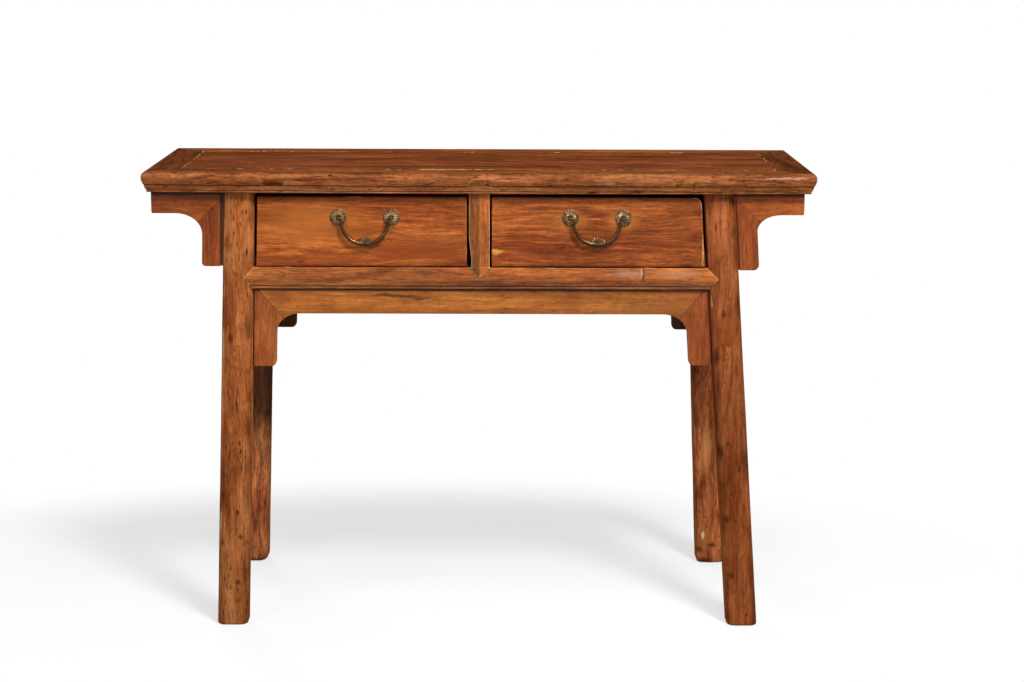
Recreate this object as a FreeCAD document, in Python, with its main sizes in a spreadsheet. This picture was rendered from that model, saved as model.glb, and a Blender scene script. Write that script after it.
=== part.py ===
import FreeCAD, Part
import math
import os
import re

import Sketcher

# Two-drawer coffer: a recessed-leg table with two drawers, hanging spandrels and brass bail pulls.
# Millimetres, +Z up, +X to the right and the front towards -Y. The origin is on the floor, under the middle
# of the top.

TAIL_COUNT = 3

# Driving sizes
SIZES = [
    ("top_width", 1200),
    ("top_depth", 450),
    ("table_height", 830),
    # the play in joints, and how far a cutter or the root of a tenon runs past the face it meets
    ("joint_gap", 0.2),
    ("overrun", 9),
    # the framed top
    ("top_thickness", 37),
    ("frame_width", 64),
    ("panel_thickness", 13),
    ("panel_gap", 0.8),
    ("panel_tongue_depth", 8),
    ("panel_tongue_thickness", 5),
    ("panel_tongue_cover", 6),
    ("corner_tenon_thickness", 10),
    ("corner_tenon_width", 20),
    ("corner_tenon_length", 42),
    # the moulded edge of the top, measured in from its widest line and down from its face
    ("edge_inset", 7),
    ("edge_fall", 9),
    ("edge_band", 19),
    ("edge_lip", 2.5),
    ("edge_quirk", 2),
    ("edge_taper", 12.5),
    ("edge_bead", 4.5),
    # the battens under the panel
    ("batten_width", 36),
    ("batten_height", 22),
    ("batten_spacing", 366),
    ("batten_tenon_width", 34),
    ("batten_tenon_height", 12),
    ("key_width", 22),
    ("key_flare", 3),
    ("key_height", 4),
    # legs
    ("leg_section", 56),
    ("leg_corner", 8),
    ("foot_round", 5),
    ("leg_end_inset", 170.5),
    ("leg_front_inset", 53),
    ("splay_depth", 38),
    ("splay_front_left", 21),
    ("splay_front_right", 54),
    ("splay_rear_left", 27),
    ("splay_rear_right", 35),
    ("leg_tenon_width", 24),
    ("leg_tenon_depth", 18),
    ("leg_tenon_length", 16),
    # rails, muntin and stretchers
    ("drawer_opening", 136),
    ("rail_height", 39),
    ("rail_depth", 34),
    ("ridge_rise", 3),
    ("rail_bead", 3.5),
    ("bead_rise", 1.6),
    ("shoulder_reach", 18),
    ("shoulder_line", 0.6),
    ("lip_depth", 8),
    ("tenon_thickness", 12),
    ("tenon_length", 24),
    ("tenon_shoulder", 6),
    ("muntin_width", 37),
    ("muntin_depth", 30),
    ("muntin_tenon", 10),
    ("muntin_tenon_setback", 3),
    ("side_rail_width", 26),
    ("stretcher_drop", 122),
    ("stretcher_height", 40),
    ("stretcher_width", 26),
    # panels of the case
    ("board_thickness", 10),
    ("groove_depth", 6),
    ("side_panel_bite", 13),
    ("back_panel_bite", 12),
    ("back_panel_setback", 18.5),
    # apron, its spandrels and the hanging spandrels
    ("apron_height", 46),
    ("apron_thickness", 16),
    ("apron_setback", 2),
    ("spandrel_width", 40),
    ("spandrel_drop", 141),
    ("spandrel_curve", 36),
    ("spandrel_corner", 9),
    ("spandrel_gap", 2),
    ("spandrel_tongue", 6),
    ("mitre_inset", 14),
    ("mitre_shift", 12),
    ("hanging_height", 40),
    ("hanging_end_inset", 17),
    ("hanging_width", 37),
    ("hanging_drop", 138),
    ("hanging_curve", 34),
    ("hanging_corner", 7),
    ("hanging_mitre_shift", 8),
    # drawer runners and guides
    ("runner_width", 36),
    ("runner_height", 20),
    ("runner_tenon", 10),
    ("runner_clear", 1),
    ("centre_runner_width", 80),
    ("guide_height", 20),
    ("guide_gap", 1),
    # drawers
    ("slide_gap", 0.3),
    ("drawer_leg_gap", 5),
    ("drawer_muntin_gap", 3.5),
    ("drawer_top_gap", 7),
    ("drawer_setback", 8),
    ("drawer_back_gap", 34),
    ("front_thickness", 20),
    ("side_thickness", 10),
    ("side_leg_gap", 8),
    ("side_lower", 6),
    ("bottom_thickness", 7),
    ("bottom_raise", 8),
    ("bottom_tongue", 5),
    ("tail_length", 12),
    ("tail_width", 16),
    ("tail_flare", 3),
    # pulls
    ("left_pull_shift", -5),
    ("right_pull_shift", 0.5),
    ("pull_height", 90),
    ("eye_spacing", 95),
    ("rosette_diameter", 31),
    ("rosette_rim", 1.2),
    ("rosette_dome", 4),
    ("petal_count", 18),
    ("petal_notch", 1.1),
    ("eye_ring", 3.6),
    ("eye_wire", 1.5),
    ("eye_stand", 9.6),
    ("shank_diameter", 3.6),
    ("clench_length", 22),
    ("clench_width", 3.2),
    ("clench_thickness", 1.4),
    ("bail_width", 84),
    ("bail_rod", 6),
    ("bail_pin", 3.6),
    ("bail_arm", 5),
    ("bail_pin_length", 6),
    ("leaf_width", 34),
    ("leaf_height", 13),
    ("leaf_thickness", 4.4),
]

# Levels and lines that follow from the driving sizes
PLACES = [
    ("under_top", "table_height - top_thickness"),
    ("half_width", "top_width / 2"),
    ("half_depth", "top_depth / 2"),
    ("panel_under", "table_height - panel_thickness"),
    ("leg_x", "top_width / 2 - leg_end_inset"),
    ("leg_y", "top_depth / 2 - leg_front_inset"),
    ("leg_tenon_line", "(half_depth - frame_width + leg_y + leg_section / 2) / 2"),
    ("rail_top", "table_height - top_thickness - drawer_opening"),
    ("rail_bottom", "table_height - top_thickness - drawer_opening - rail_height"),
    ("rail_middle", "table_height - top_thickness - drawer_opening - rail_height / 2"),
    ("rail_lean", "(drawer_opening + rail_height / 2) / (table_height - top_thickness)"),
    ("rail_face", "leg_y + splay_depth * rail_lean + leg_section / 2"),
    ("rail_back", "rail_face - rail_depth"),
    ("lip_back", "rail_face - lip_depth"),
    ("tenon_face", "leg_y + splay_depth * rail_lean + tenon_thickness"),
    ("apron_face", "leg_y + leg_section / 2 - apron_setback"),
    ("apron_back", "apron_face - apron_thickness"),
    ("apron_low", "rail_bottom - apron_height"),
    ("spandrel_low", "rail_bottom - spandrel_drop"),
    ("stretcher_level", "rail_bottom - stretcher_drop"),
    ("hanging_under", "under_top - hanging_height"),
    ("hanging_low", "under_top - hanging_drop"),
    ("tongue_back", "apron_face - (apron_thickness + spandrel_tongue) / 2"),
    ("tongue_front", "apron_face - (apron_thickness - spandrel_tongue) / 2"),
    ("back_panel_face", "rail_face - back_panel_setback"),
    ("leg_inside", "leg_x - leg_section / 2"),
    ("drawer_face", "rail_face - drawer_setback"),
    ("drawer_front_back", "drawer_face - front_thickness"),
    ("drawer_rear", "back_panel_face - board_thickness / 2 - drawer_back_gap"),
    ("drawer_under", "rail_top + slide_gap"),
    ("drawer_top", "under_top - drawer_top_gap"),
    ("drawer_inner", "muntin_width / 2 + drawer_muntin_gap"),
    ("drawer_outer", "leg_inside - side_leg_gap"),
    ("side_top", "drawer_top - side_lower"),
    ("bottom_under", "drawer_under + bottom_raise"),
    ("bottom_top", "bottom_under + bottom_thickness"),
    ("tail_pitch", f"(side_top - bottom_top) / {TAIL_COUNT}"),
    ("drawer_middle", "(leg_inside + muntin_width / 2) / 2"),
    ("eye_level", "rail_top + pull_height"),
    ("eye_line", "drawer_face + eye_stand"),
    ("bail_radius", "bail_width / 2"),
]

SHEET_OF = {name: "sizes" for name, _ in SIZES}
SHEET_OF.update({name: "places" for name, _ in PLACES})

LEFT, RIGHT = -1, 1
FRONT, REAR = -1, 1
SIDES = {"left": LEFT, "right": RIGHT}
ENDS = {"front": FRONT, "rear": REAR}

document = FreeCAD.newDocument("two_drawer_coffer")
pieces = []


def linked(text):
    """The expression with each size and place named in it tied to its sheet."""
    return re.sub(r"[a-z_]+", lambda word: (SHEET_OF[word.group()] + "." if word.group() in SHEET_OF else "")
                  + word.group(), text)


def make_sheets():
    sizes = document.addObject("Spreadsheet::Sheet", "sizes")
    for row, (name, value) in enumerate(SIZES, start=1):
        sizes.set(f"A{row}", name)
        sizes.set(f"B{row}", str(value))
        sizes.setAlias(f"B{row}", name)
    document.recompute()
    places = document.addObject("Spreadsheet::Sheet", "places")
    for row, (name, formula) in enumerate(PLACES, start=1):
        places.set(f"A{row}", name)
        places.set(f"B{row}", "=" + linked(formula).replace("places.", ""))
        places.setAlias(f"B{row}", name)
        document.recompute()


def number(text):
    """What an expression comes to at present."""
    return float(document.getObject("places").evalExpression(linked(text)))


def bind(target, **expressions):
    for name, text in expressions.items():
        target.setExpression(name, linked(text))


def place(target, x="0", y="0", z="0"):
    for axis, text in (("x", x), ("y", y), ("z", z)):
        target.setExpression("Placement.Base." + axis, linked(text))


def span(sign, near, far):
    """A low and a high bound, mirrored for the left or the front."""
    if sign > 0:
        return near, far
    return f"-({far})", f"-({near})"


def both(half):
    return f"-({half})", half


def block(name, xs, ys, zs, gap="0"):
    """A squared block between three pairs of bounds, larger all round by the gap."""
    solid = document.addObject("Part::Box", name)
    starts = []
    for side, (low, high) in (("Length", xs), ("Width", ys), ("Height", zs)):
        bind(solid, **{side: f"({high}) - ({low}) + 2 * {gap}"})
        starts.append(f"({low}) - {gap}")
    place(solid, *starts)
    return solid


def rod(name, radius, length, start, turn=None):
    """A round rod that runs up from its start point, or along the turned direction."""
    solid = document.addObject("Part::Cylinder", name)
    bind(solid, Radius=radius, Height=length)
    if turn:
        solid.Placement = FreeCAD.Placement(FreeCAD.Vector(), FreeCAD.Rotation(*turn))
    place(solid, *start)
    return solid


ALONG_X = (FreeCAD.Vector(0, 1, 0), 90)
ALONG_Y = (FreeCAD.Vector(1, 0, 0), -90)


def fuse(name, *shapes):
    result = document.addObject("Part::MultiFuse", name)
    result.Shapes = shapes
    return result


def group(name, *solids):
    """Like pieces that share one name, each still a solid of its own."""
    result = document.addObject("Part::Compound", name)
    result.Links = solids
    return result


def cut(name, base, *tools):
    result = document.addObject("Part::Cut", name)
    result.Base = base
    result.Tool = tools[0] if len(tools) == 1 else fuse(name + "_tools", *tools)
    return result


def common(name, base, tool):
    result = document.addObject("Part::Common", name)
    result.Base = base
    result.Tool = tool
    return result


def piece(solid):
    """Counts an object as one of the coffer's pieces; its label names it."""
    document.recompute()
    pieces.append(solid)
    return solid


def arc_between(start, end, radius, turn):
    """The shorter arc from start to end; turn is 1 counter-clockwise and -1 clockwise."""
    along = end - start
    middle = start + along * 0.5
    rise = math.sqrt(max(radius * radius - along.Length ** 2 / 4, 0))
    aside = FreeCAD.Vector(-along.y, along.x, 0).normalize() * (rise * turn)
    centre = middle + aside
    angles = [math.atan2(point.y - centre.y, point.x - centre.x) for point in (start, end)]
    first, last = angles if turn > 0 else reversed(angles)
    return Part.ArcOfCircle(Part.Circle(centre, FreeCAD.Vector(0, 0, 1), radius), first, last)


def draw(sketch, corners):
    """Closes a run of corners into an outline.

    A corner is two expressions, and one with a radius and a turn is reached by that arc.
    """
    points = [FreeCAD.Vector(number(corner[0]), number(corner[1]), 0) for corner in corners]
    heads, tails, radii = [], [], {}
    for index, corner in enumerate(corners):
        start, end = points[index - 1], points[index]
        if len(corner) == 2:
            edge = sketch.addGeometry(Part.LineSegment(start, end), False)
            heads.append((edge, 1))
            tails.append((edge, 2))
        else:
            edge = sketch.addGeometry(arc_between(start, end, number(corner[2]), corner[3]), False)
            heads.append((edge, 1 if corner[3] > 0 else 2))
            tails.append((edge, 2 if corner[3] > 0 else 1))
            radii[edge] = corner[2]
    rules = []
    for index, corner in enumerate(corners):
        tail, head = tails[index], heads[(index + 1) % len(corners)]
        sketch.addConstraint(Sketcher.Constraint("Coincident", *tail, *head))
        for kind, text in (("DistanceX", corner[0]), ("DistanceY", corner[1])):
            rules.append((sketch.addConstraint(Sketcher.Constraint(kind, -1, 1, *tail, number(text))), text))
    for edge, text in radii.items():
        rules.append((sketch.addConstraint(Sketcher.Constraint("Radius", edge, number(text))), text))
    for rule, text in rules:
        sketch.setExpression(f"Constraints[{rule}]", linked(text))


def sketch_on(body, plane, name, offset):
    sketch = body.newObject("Sketcher::SketchObject", name)
    flats = {flat.Role: flat for flat in body.Origin.OriginFeatures}
    sketch.AttachmentSupport = flats[plane + "_Plane"]
    sketch.MapMode = "FlatFace"
    sketch.setExpression("AttachmentOffset.Base.z", linked(offset))
    return sketch


def prism(name, plane, corners, low, high):
    """An outline on a plane, carried from the low to the high bound square to that plane."""
    body = document.addObject("PartDesign::Body", name)
    start = f"-({high})" if plane == "XZ" else low
    sketch = sketch_on(body, plane, name + "_outline", start)
    draw(sketch, corners)
    pad = body.newObject("PartDesign::Pad", name + "_pad")
    pad.Profile = sketch
    bind(pad, Length=f"({high}) - ({low})")
    document.recompute()
    return body


def edges_where(body, wanted):
    """Names of the edges whose bounds answer the question."""
    return [f"Edge{index}" for index, edge in enumerate(body.Shape.Edges, start=1) if wanted(edge.BoundBox)]


SAME_SPOT = 0.01


def edges_through(shape, spots):
    """Names of the edges square to the front that pass through spots in the front view."""
    found = []
    for index, edge in enumerate(shape.Edges, start=1):
        ends = [vertex.Point for vertex in edge.Vertexes]
        for x, z in spots:
            if len(ends) == 2 and all(math.hypot(end.x - x, end.z - z) < SAME_SPOT for end in ends):
                found.append(f"Edge{index}")
    return found


def round_off(body, name, radius, names):
    before = body.Tip
    fillet = body.newObject("PartDesign::Fillet", name)
    fillet.Base = (before, names)
    bind(fillet, Radius=radius)
    document.recompute()


def round_corners(body, name, radius, corners):
    spots = [(number(x), number(z)) for x, z in corners]
    round_off(body, name, radius, edges_through(body.Shape, spots))


# Legs lean out to the sides and to the front or rear; every joint on them follows that lean
LEGS = {
    "front_left": (LEFT, FRONT, "splay_front_left"),
    "front_right": (RIGHT, FRONT, "splay_front_right"),
    "rear_left": (LEFT, REAR, "splay_rear_left"),
    "rear_right": (RIGHT, REAR, "splay_rear_right"),
}
blanks = {}
sockets = {name: [] for name in LEGS}


def leg_centre(leg, level):
    """How far a leg's middle stands from the centre plane at a level."""
    return f"(leg_x + {LEGS[leg][2]} * (under_top - ({level})) / under_top)"


def leg_inner(leg, level):
    return f"({leg_centre(leg, level)} - leg_section / 2)"


def leg_outer(leg, level):
    return f"({leg_centre(leg, level)} + leg_section / 2)"


def square(x, y):
    half = "leg_section / 2"
    turns = ((-1, -1), (1, -1), (1, 1), (-1, 1))
    return [(f"{x} + {across} * {half}", f"{y} + {back} * {half}") for across, back in turns]


def leg_blank(leg):
    """The leaning square leg before its joints are cut, with eased arrises and foot."""
    side, end, splay = LEGS[leg]
    body = document.addObject("PartDesign::Body", leg + "_leg_blank")
    foot = sketch_on(body, "XY", leg + "_foot", "0")
    draw(foot, square(f"{side} * (leg_x + {splay})", f"{end} * (leg_y + splay_depth)"))
    shaft = body.newObject("PartDesign::Pad", leg + "_shaft")
    shaft.Profile = foot
    shaft.UseCustomVector = True
    shaft.AlongSketchNormal = True
    lean = (("x", f"{-side} * {splay}"), ("y", f"{-end} * splay_depth"), ("z", "under_top"))
    bind(shaft, Length="under_top", **{"Direction." + axis: text for axis, text in lean})
    document.recompute()
    half = number("under_top / 2")
    arrises = edges_where(body, lambda bounds: bounds.ZMin < half < bounds.ZMax)
    round_off(body, leg + "_arrises", "leg_corner", arrises)
    sole = edges_where(body, lambda bounds: bounds.ZMax < number("foot_round"))
    round_off(body, leg + "_sole", "foot_round", sole)
    blanks[leg] = body


def leg_blanks(names):
    return [blanks[name] for name in names]


def finished_leg(name):
    """A leg with the sockets that its rails, panels and spandrels go into, and its tenon into the top."""
    side, end, _ = LEGS[name]
    tenon = block(name + "_leg_tenon", *leg_tenon(side, end))
    piece(fuse(name + "_leg", cut(name + "_leg_cut", blanks[name], *sockets[name]), tenon))


def leg_tenon(side, end):
    """Bounds of the tenon on a leg's head, where the head lies under the long member of the top."""
    return (span(side, "leg_x - leg_tenon_width / 2", "leg_x + leg_tenon_width / 2"),
            span(end, "leg_tenon_line - leg_tenon_depth / 2", "leg_tenon_line + leg_tenon_depth / 2"),
            ("under_top", "under_top + leg_tenon_length"))


# The framed top: four mitred members with a moulded edge round a floating panel on three battens
def edge_profile(along, sign):
    """The section of a frame member; along is its distance across, sign its side."""
    roll = "(edge_inset ^ 2 + edge_fall ^ 2) / (2 * edge_inset)"
    under_roll = "(edge_lip ^ 2 + (edge_band - edge_fall) ^ 2) / (2 * edge_lip)"
    bead_top = "top_thickness - edge_bead"
    outline = [
        ("frame_width", "0"),
        ("edge_inset", "0"),
        ("0", "edge_fall", roll, 1),
        ("edge_lip", "edge_band", under_roll, 1),
        ("edge_lip + edge_quirk", "edge_band + edge_quirk / 2"),
        ("edge_taper", bead_top),
        ("edge_taper - edge_bead / 3", f"{bead_top} + edge_bead / 4"),
        ("edge_taper", "top_thickness", "edge_bead / 2", 1),
        ("frame_width", "top_thickness"),
    ]
    return [(f"{sign} * ({along} - ({corner[0]}))", f"table_height - ({corner[1]})",
             *(corner[2:3] + (corner[3] * -sign,) if len(corner) > 2 else ())) for corner in outline]


def mitred(name, bar, corners):
    plan = prism(name + "_mitre", "XY", corners, "under_top - overrun", "table_height + overrun")
    return common(name + "_mitred", bar, plan)


def corner_tenons(end):
    """Bounds of the two tenons on a long member's mitred ends."""
    middle = "half_depth - frame_width / 2"
    ys = span(end, f"{middle} - corner_tenon_width / 2", f"{middle} + corner_tenon_width / 2")
    zs = ("under_top + corner_tenon_thickness", "under_top + 2 * corner_tenon_thickness")
    start = "half_width - frame_width + corner_tenon_length"
    return [(span(side, "half_width - frame_width - overrun", start), ys, zs) for side in (LEFT, RIGHT)]


def panel_tongue():
    reach = "- frame_width + panel_tongue_depth"
    top = "table_height - panel_tongue_cover"
    return both(f"half_width {reach}"), both(f"half_depth {reach}"), (f"{top} - panel_tongue_thickness", top)


BATTENS = {"left": -1, "centre": 0, "right": 1}


def batten_tenon(step, end):
    """Bounds of a batten's end, which passes right through the long member."""
    middle = f"{step} * batten_spacing"
    return ((f"{middle} - batten_tenon_width / 2", f"{middle} + batten_tenon_width / 2"),
            span(end, "half_depth - frame_width - overrun", "half_depth + overrun"),
            ("panel_under - batten_tenon_height", "panel_under"))


OUTWARD, INWARD = "+ overrun", "- frame_width - overrun"
MITRE_ENDS = ((LEFT, OUTWARD), (RIGHT, OUTWARD), (RIGHT, INWARD), (LEFT, INWARD))


def long_bar(name):
    end = ENDS[name]
    bar = prism(f"top_{name}_bar", "YZ", edge_profile("half_depth", end), *both("half_width + overrun"))
    corners = [(f"{side} * (half_width {way})", f"{end} * (half_depth {way})") for side, way in MITRE_ENDS]
    return mitred(f"top_{name}", bar, corners)


def top_long_member(name, bar):
    """A long member, with tenons at its mitres and mortises for legs, muntin and battens."""
    end = ENDS[name]
    tenons = [block(f"top_{name}_tenon", *bounds) for bounds in corner_tenons(end)]
    tools = [block(f"top_{name}_groove", *panel_tongue(), gap="joint_gap")]
    tools += [block(f"top_{name}_leg_mortise", *leg_tenon(side, end), gap="joint_gap")
              for side in SIDES.values()]
    tools += [block(f"top_{name}_batten_mortise", *batten_tenon(step, end), gap="joint_gap")
              for step in BATTENS.values()]
    if end == FRONT:
        tools.append(block("top_front_muntin_mortise", *muntin_head(), gap="joint_gap"))
    else:
        tools.append(block("top_rear_panel_groove", *back_panel_bounds(), gap="joint_gap"))
    piece(cut(f"top_{name}_member", fuse(f"top_{name}_tenoned", bar, *tenons), *tools))


def top_end_member(name):
    """An end member, with the mortises for the long members' tenons."""
    side = SIDES[name]
    bar = prism(f"top_{name}_bar", "XZ", edge_profile("half_width", side), *both("half_depth + overrun"))
    corners = [(f"{side} * (half_width {way})", f"{end} * (half_depth {way})") for end, way in MITRE_ENDS]
    tools = [block(f"top_{name}_groove", *panel_tongue(), gap="joint_gap")]
    for end in (FRONT, REAR):
        tenon = corner_tenons(end)[0 if side == LEFT else 1]
        tools.append(block(f"top_{name}_mortise", *tenon, gap="joint_gap"))
    piece(cut(f"top_{name}_member", mitred(f"top_{name}", bar, corners), *tools))


def batten_key(name, step, gap):
    """The dovetailed ridge that holds a batten in the panel."""
    half = {"foot": f"(key_width / 2 + {gap})", "head": f"(key_width / 2 + key_flare + {gap})"}
    rise = [("foot", "panel_under - overrun"), ("foot", "panel_under"),
            ("head", f"panel_under + key_height + {gap}")]
    corners = [(f"{step} * batten_spacing - {half[part]}", level) for part, level in rise]
    corners += [(f"{step} * batten_spacing + {half[part]}", level) for part, level in reversed(rise)]
    return prism(name, "XZ", corners, *both("half_depth - frame_width - panel_gap"))


def top_panel():
    """The floating panel, tongued on all four edges and slotted for the battens' keys."""
    field = block("top_panel_field", both("half_width - frame_width - panel_gap"),
                  both("half_depth - frame_width - panel_gap"), ("panel_under", "table_height"))
    tongued = fuse("top_panel_tongued", field, block("top_panel_tongue", *panel_tongue()))
    slots = [batten_key(f"{name}_batten_slot", step, "joint_gap") for name, step in BATTENS.items()]
    piece(cut("top_panel", tongued, *slots))


def top_batten(name, bars):
    """A cross batten whose tenons show on the front and rear edges of the top."""
    step = BATTENS[name]
    middle = f"{step} * batten_spacing"
    rail = block(f"{name}_batten_rail", (f"{middle} - batten_width / 2", f"{middle} + batten_width / 2"),
                 both("half_depth - frame_width"), ("panel_under - batten_height", "panel_under"))
    tenons = []
    for end, sign in ENDS.items():
        tenon = block(f"{name}_batten_{end}_tenon", *batten_tenon(step, sign))
        tenons.append(common(f"{name}_batten_{end}_end", bars[end], tenon))
    piece(fuse(f"top_batten_{name}", rail, batten_key(f"{name}_batten_key", step, "0"), *tenons))


def make_top():
    bars = {name: long_bar(name) for name in ENDS}
    for name in ENDS:
        top_long_member(name, bars[name])
    for name in SIDES:
        top_end_member(name)
    top_panel()
    for name in BATTENS:
        top_batten(name, bars)


# The drawer rail: a ridged bar whose pointed shoulders lie over the faces of the front legs
def rail_end(side, line):
    """The pointed end of the rail, longer by the width of the joint line."""
    leg = front_leg(side)
    reach = (("rail_bottom", line), ("rail_middle", f"shoulder_reach + {line}"), ("rail_top", line))
    return [(f"{side} * ({leg_inner(leg, level)} + {length})", level) for level, length in reach]


def rail_outline(line):
    """The rail seen from the front."""
    return rail_end(RIGHT, line) + rail_end(LEFT, line)[::-1]


def rail_section():
    """The rail in section: two facets meeting in a ridge, a quirk and a bead along the foot."""
    facet = "rail_face - ridge_rise"
    bead_top = "rail_bottom + rail_bead"
    bead_radius = "((rail_bead / 2) ^ 2 + bead_rise ^ 2) / (2 * bead_rise)"
    corners = [("rail_back", "rail_bottom"), (f"{facet} - bead_rise", "rail_bottom"),
               (f"{facet} - bead_rise", bead_top, bead_radius, -1),
               (facet, f"{bead_top} + bead_rise / 2"), ("rail_face", "rail_middle"), (facet, "rail_top"),
               ("rail_back", "rail_top")]
    return [(f"-({corner[0]})", *corner[1:]) for corner in corners]


def rail_tenon(name, end):
    """Bounds of the tenon by which a front or rear rail enters a leg."""
    side = LEGS[name][0]
    face = leg_inner(name, "rail_middle")
    return (span(side, f"{face} - overrun", f"{face} + tenon_length"),
            span(end, "tenon_face - tenon_thickness", "tenon_face"),
            ("rail_bottom + tenon_shoulder", "rail_top - tenon_shoulder"))


def trimmed_tenon(name, bounds, owner):
    """A tenon with only the part that lies inside its leg."""
    return common(name + "_in_leg", block(name, *bounds), blanks[owner])


def rail_tenons(end, legs):
    tenons = []
    for name in legs:
        bounds = rail_tenon(name, end)
        tenons.append(trimmed_tenon(f"{name}_rail_tenon", bounds, name))
        sockets[name].append(block(f"{name}_rail_mortise", *bounds, gap="joint_gap"))
    return tenons


def front_view(name, outline, back):
    """An outline seen from the front, carried from before the coffer to a depth inside it."""
    return prism(name, "XZ", outline, "-half_depth", back)


def drawer_rail():
    """The front rail, let into both front legs and notched for the muntin and the runners."""
    legs = ("front_left", "front_right")
    bar = prism("rail_bar", "YZ", rail_section(), *both("half_width"))
    pointed = common("rail_pointed", bar, front_view("rail_front_view", rail_outline("0"), "0"))
    lip_zone = block("rail_lip_zone", both("half_width"), ("-half_depth", "-lip_back"), ("0", "under_top"))
    between = cut("rail_between", cut("rail_behind_lip", pointed, lip_zone), *leg_blanks(legs))
    tenoned = fuse("rail_tenoned", common("rail_lip", pointed, lip_zone), between, *rail_tenons(FRONT, legs))
    notch_back = "-lip_back + joint_gap"
    notch = front_view("rail_lip_notch", rail_outline("shoulder_line"), notch_back)
    for name in legs:
        sockets[name].append(notch)
    tools = [front_view("rail_muntin_notch", muntin_outline("shoulder_line"), notch_back),
             block("rail_muntin_mortise", *muntin_foot(), gap="joint_gap")]
    tools += runner_mortises(FRONT)
    piece(cut("drawer_rail", tenoned, *tools))


def rear_rail():
    """The plain rear rail that carries the back panel and the runners' rear ends."""
    legs = ("rear_left", "rear_right")
    depth = ("rail_back", "rail_face - ridge_rise")
    bar = block("rear_rail_bar", both("leg_x"), depth, ("rail_bottom", "rail_top"))
    between = cut("rear_rail_between", bar, *leg_blanks(legs))
    tenoned = fuse("rear_rail_tenoned", between, *rail_tenons(REAR, legs))
    groove = block("rear_rail_panel_groove", *back_panel_bounds(), gap="joint_gap")
    piece(cut("rear_rail", tenoned, groove, *runner_mortises(REAR)))


# The muntin between the drawers, ridged like the rail and pointed into its face
def muntin_outline(line):
    half = f"muntin_width / 2 + {line}"
    return [(f"-({half})", "rail_top"), ("0", f"rail_top - ({half})"), (half, "rail_top"), (half, "under_top"),
            (f"-({half})", "under_top")]


def muntin_tenon(low, high):
    """Bounds of a tenon on the muntin, behind its ridged face."""
    start = "-lip_back + muntin_tenon_setback"
    return both("tenon_thickness / 2"), (start, f"{start} + tenon_thickness"), (low, high)


def muntin_foot():
    """The tenon that stands in the rail."""
    return muntin_tenon("rail_top - muntin_tenon", "rail_top + overrun")


def muntin_head():
    """The tenon that enters the long member of the top."""
    return muntin_tenon("under_top - overrun", "under_top + muntin_tenon")


def muntin():
    half = "muntin_width / 2"
    back, facet = "muntin_depth - rail_face", "ridge_rise - rail_face"
    section = [(f"-{half}", back), (f"-{half}", facet), ("0", "-rail_face"), (half, facet), (half, back)]
    bar = prism("muntin_bar", "XY", section, "rail_bottom", "under_top")
    pointed = common("muntin_pointed", bar, front_view("muntin_front_view", muntin_outline("0"), "0"))
    behind = block("muntin_behind_lip", both("muntin_width"), ("-lip_back", "0"), ("rail_bottom", "rail_top"))
    tenons = [block("muntin_foot", *muntin_foot()), block("muntin_head", *muntin_head())]
    piece(fuse("muntin", cut("muntin_shouldered", pointed, behind), *tenons))


# Rails, stretchers and panels that close the ends
def end_legs(side):
    return [name for name, (leg_side, _, _) in LEGS.items() if leg_side == side]


def front_leg(side):
    return "front_left" if side == LEFT else "front_right"


def across_leg(side, level, width):
    """Bounds across the middle of the front leg on one side, at a level."""
    middle = leg_centre(front_leg(side), level)
    return span(side, f"{middle} - {width} / 2", f"{middle} + {width} / 2")


def side_rail(name):
    """An end rail level with the drawer rail, tenoned into the backs of the legs."""
    side = SIDES[name]
    bar = block(f"{name}_side_bar", across_leg(side, "rail_middle", "side_rail_width"), both("leg_y"),
                ("rail_bottom", "rail_top"))
    solids = [cut(f"{name}_side_between", bar, *leg_blanks(end_legs(side)))]
    for owner in end_legs(side):
        back = "leg_y + splay_depth * rail_lean - leg_section / 2"
        bounds = (across_leg(side, "rail_middle", "tenon_thickness"),
                  span(LEGS[owner][1], f"{back} - overrun", f"{back} + tenon_length"),
                  ("rail_bottom + tenon_shoulder", "rail_top - tenon_shoulder"))
        solids.append(trimmed_tenon(f"{owner}_side_tenon", bounds, owner))
        sockets[owner].append(block(f"{owner}_side_mortise", *bounds, gap="joint_gap"))
    grooved = cut(f"{name}_side_grooved", fuse(f"{name}_side_tenoned", *solids),
                  block(f"{name}_side_groove", *side_panel_bounds(side), gap="joint_gap"))
    grooved.Label = f"side_rail_{name}"
    piece(grooved)


def side_stretcher(name):
    """An end stretcher whose tenons pass through the legs and show on their faces."""
    side = SIDES[name]
    level = ("stretcher_level - stretcher_height / 2", "stretcher_level + stretcher_height / 2")
    bar = block(f"{name}_stretcher_bar", across_leg(side, "stretcher_level", "stretcher_width"),
                both("leg_y"), level)
    solids = [cut(f"{name}_stretcher_between", bar, *leg_blanks(end_legs(side)))]
    for owner in end_legs(side):
        bounds = (across_leg(side, "stretcher_level", "tenon_thickness"),
                  span(LEGS[owner][1], "leg_y - leg_section", "half_depth + splay_depth"), level)
        solids.append(trimmed_tenon(f"{owner}_stretcher_tenon", bounds, owner))
        sockets[owner].append(block(f"{owner}_stretcher_mortise", *bounds, gap="joint_gap"))
    whole = fuse(f"{name}_stretcher", *solids)
    whole.Label = f"side_stretcher_{name}"
    piece(whole)


SIDE_REACH = "leg_y - leg_section / 2 + side_panel_bite"


def side_panel_bounds(side):
    return (across_leg(side, "rail_middle", "board_thickness"), both(SIDE_REACH),
            ("rail_top - groove_depth", "under_top - joint_gap"))


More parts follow.
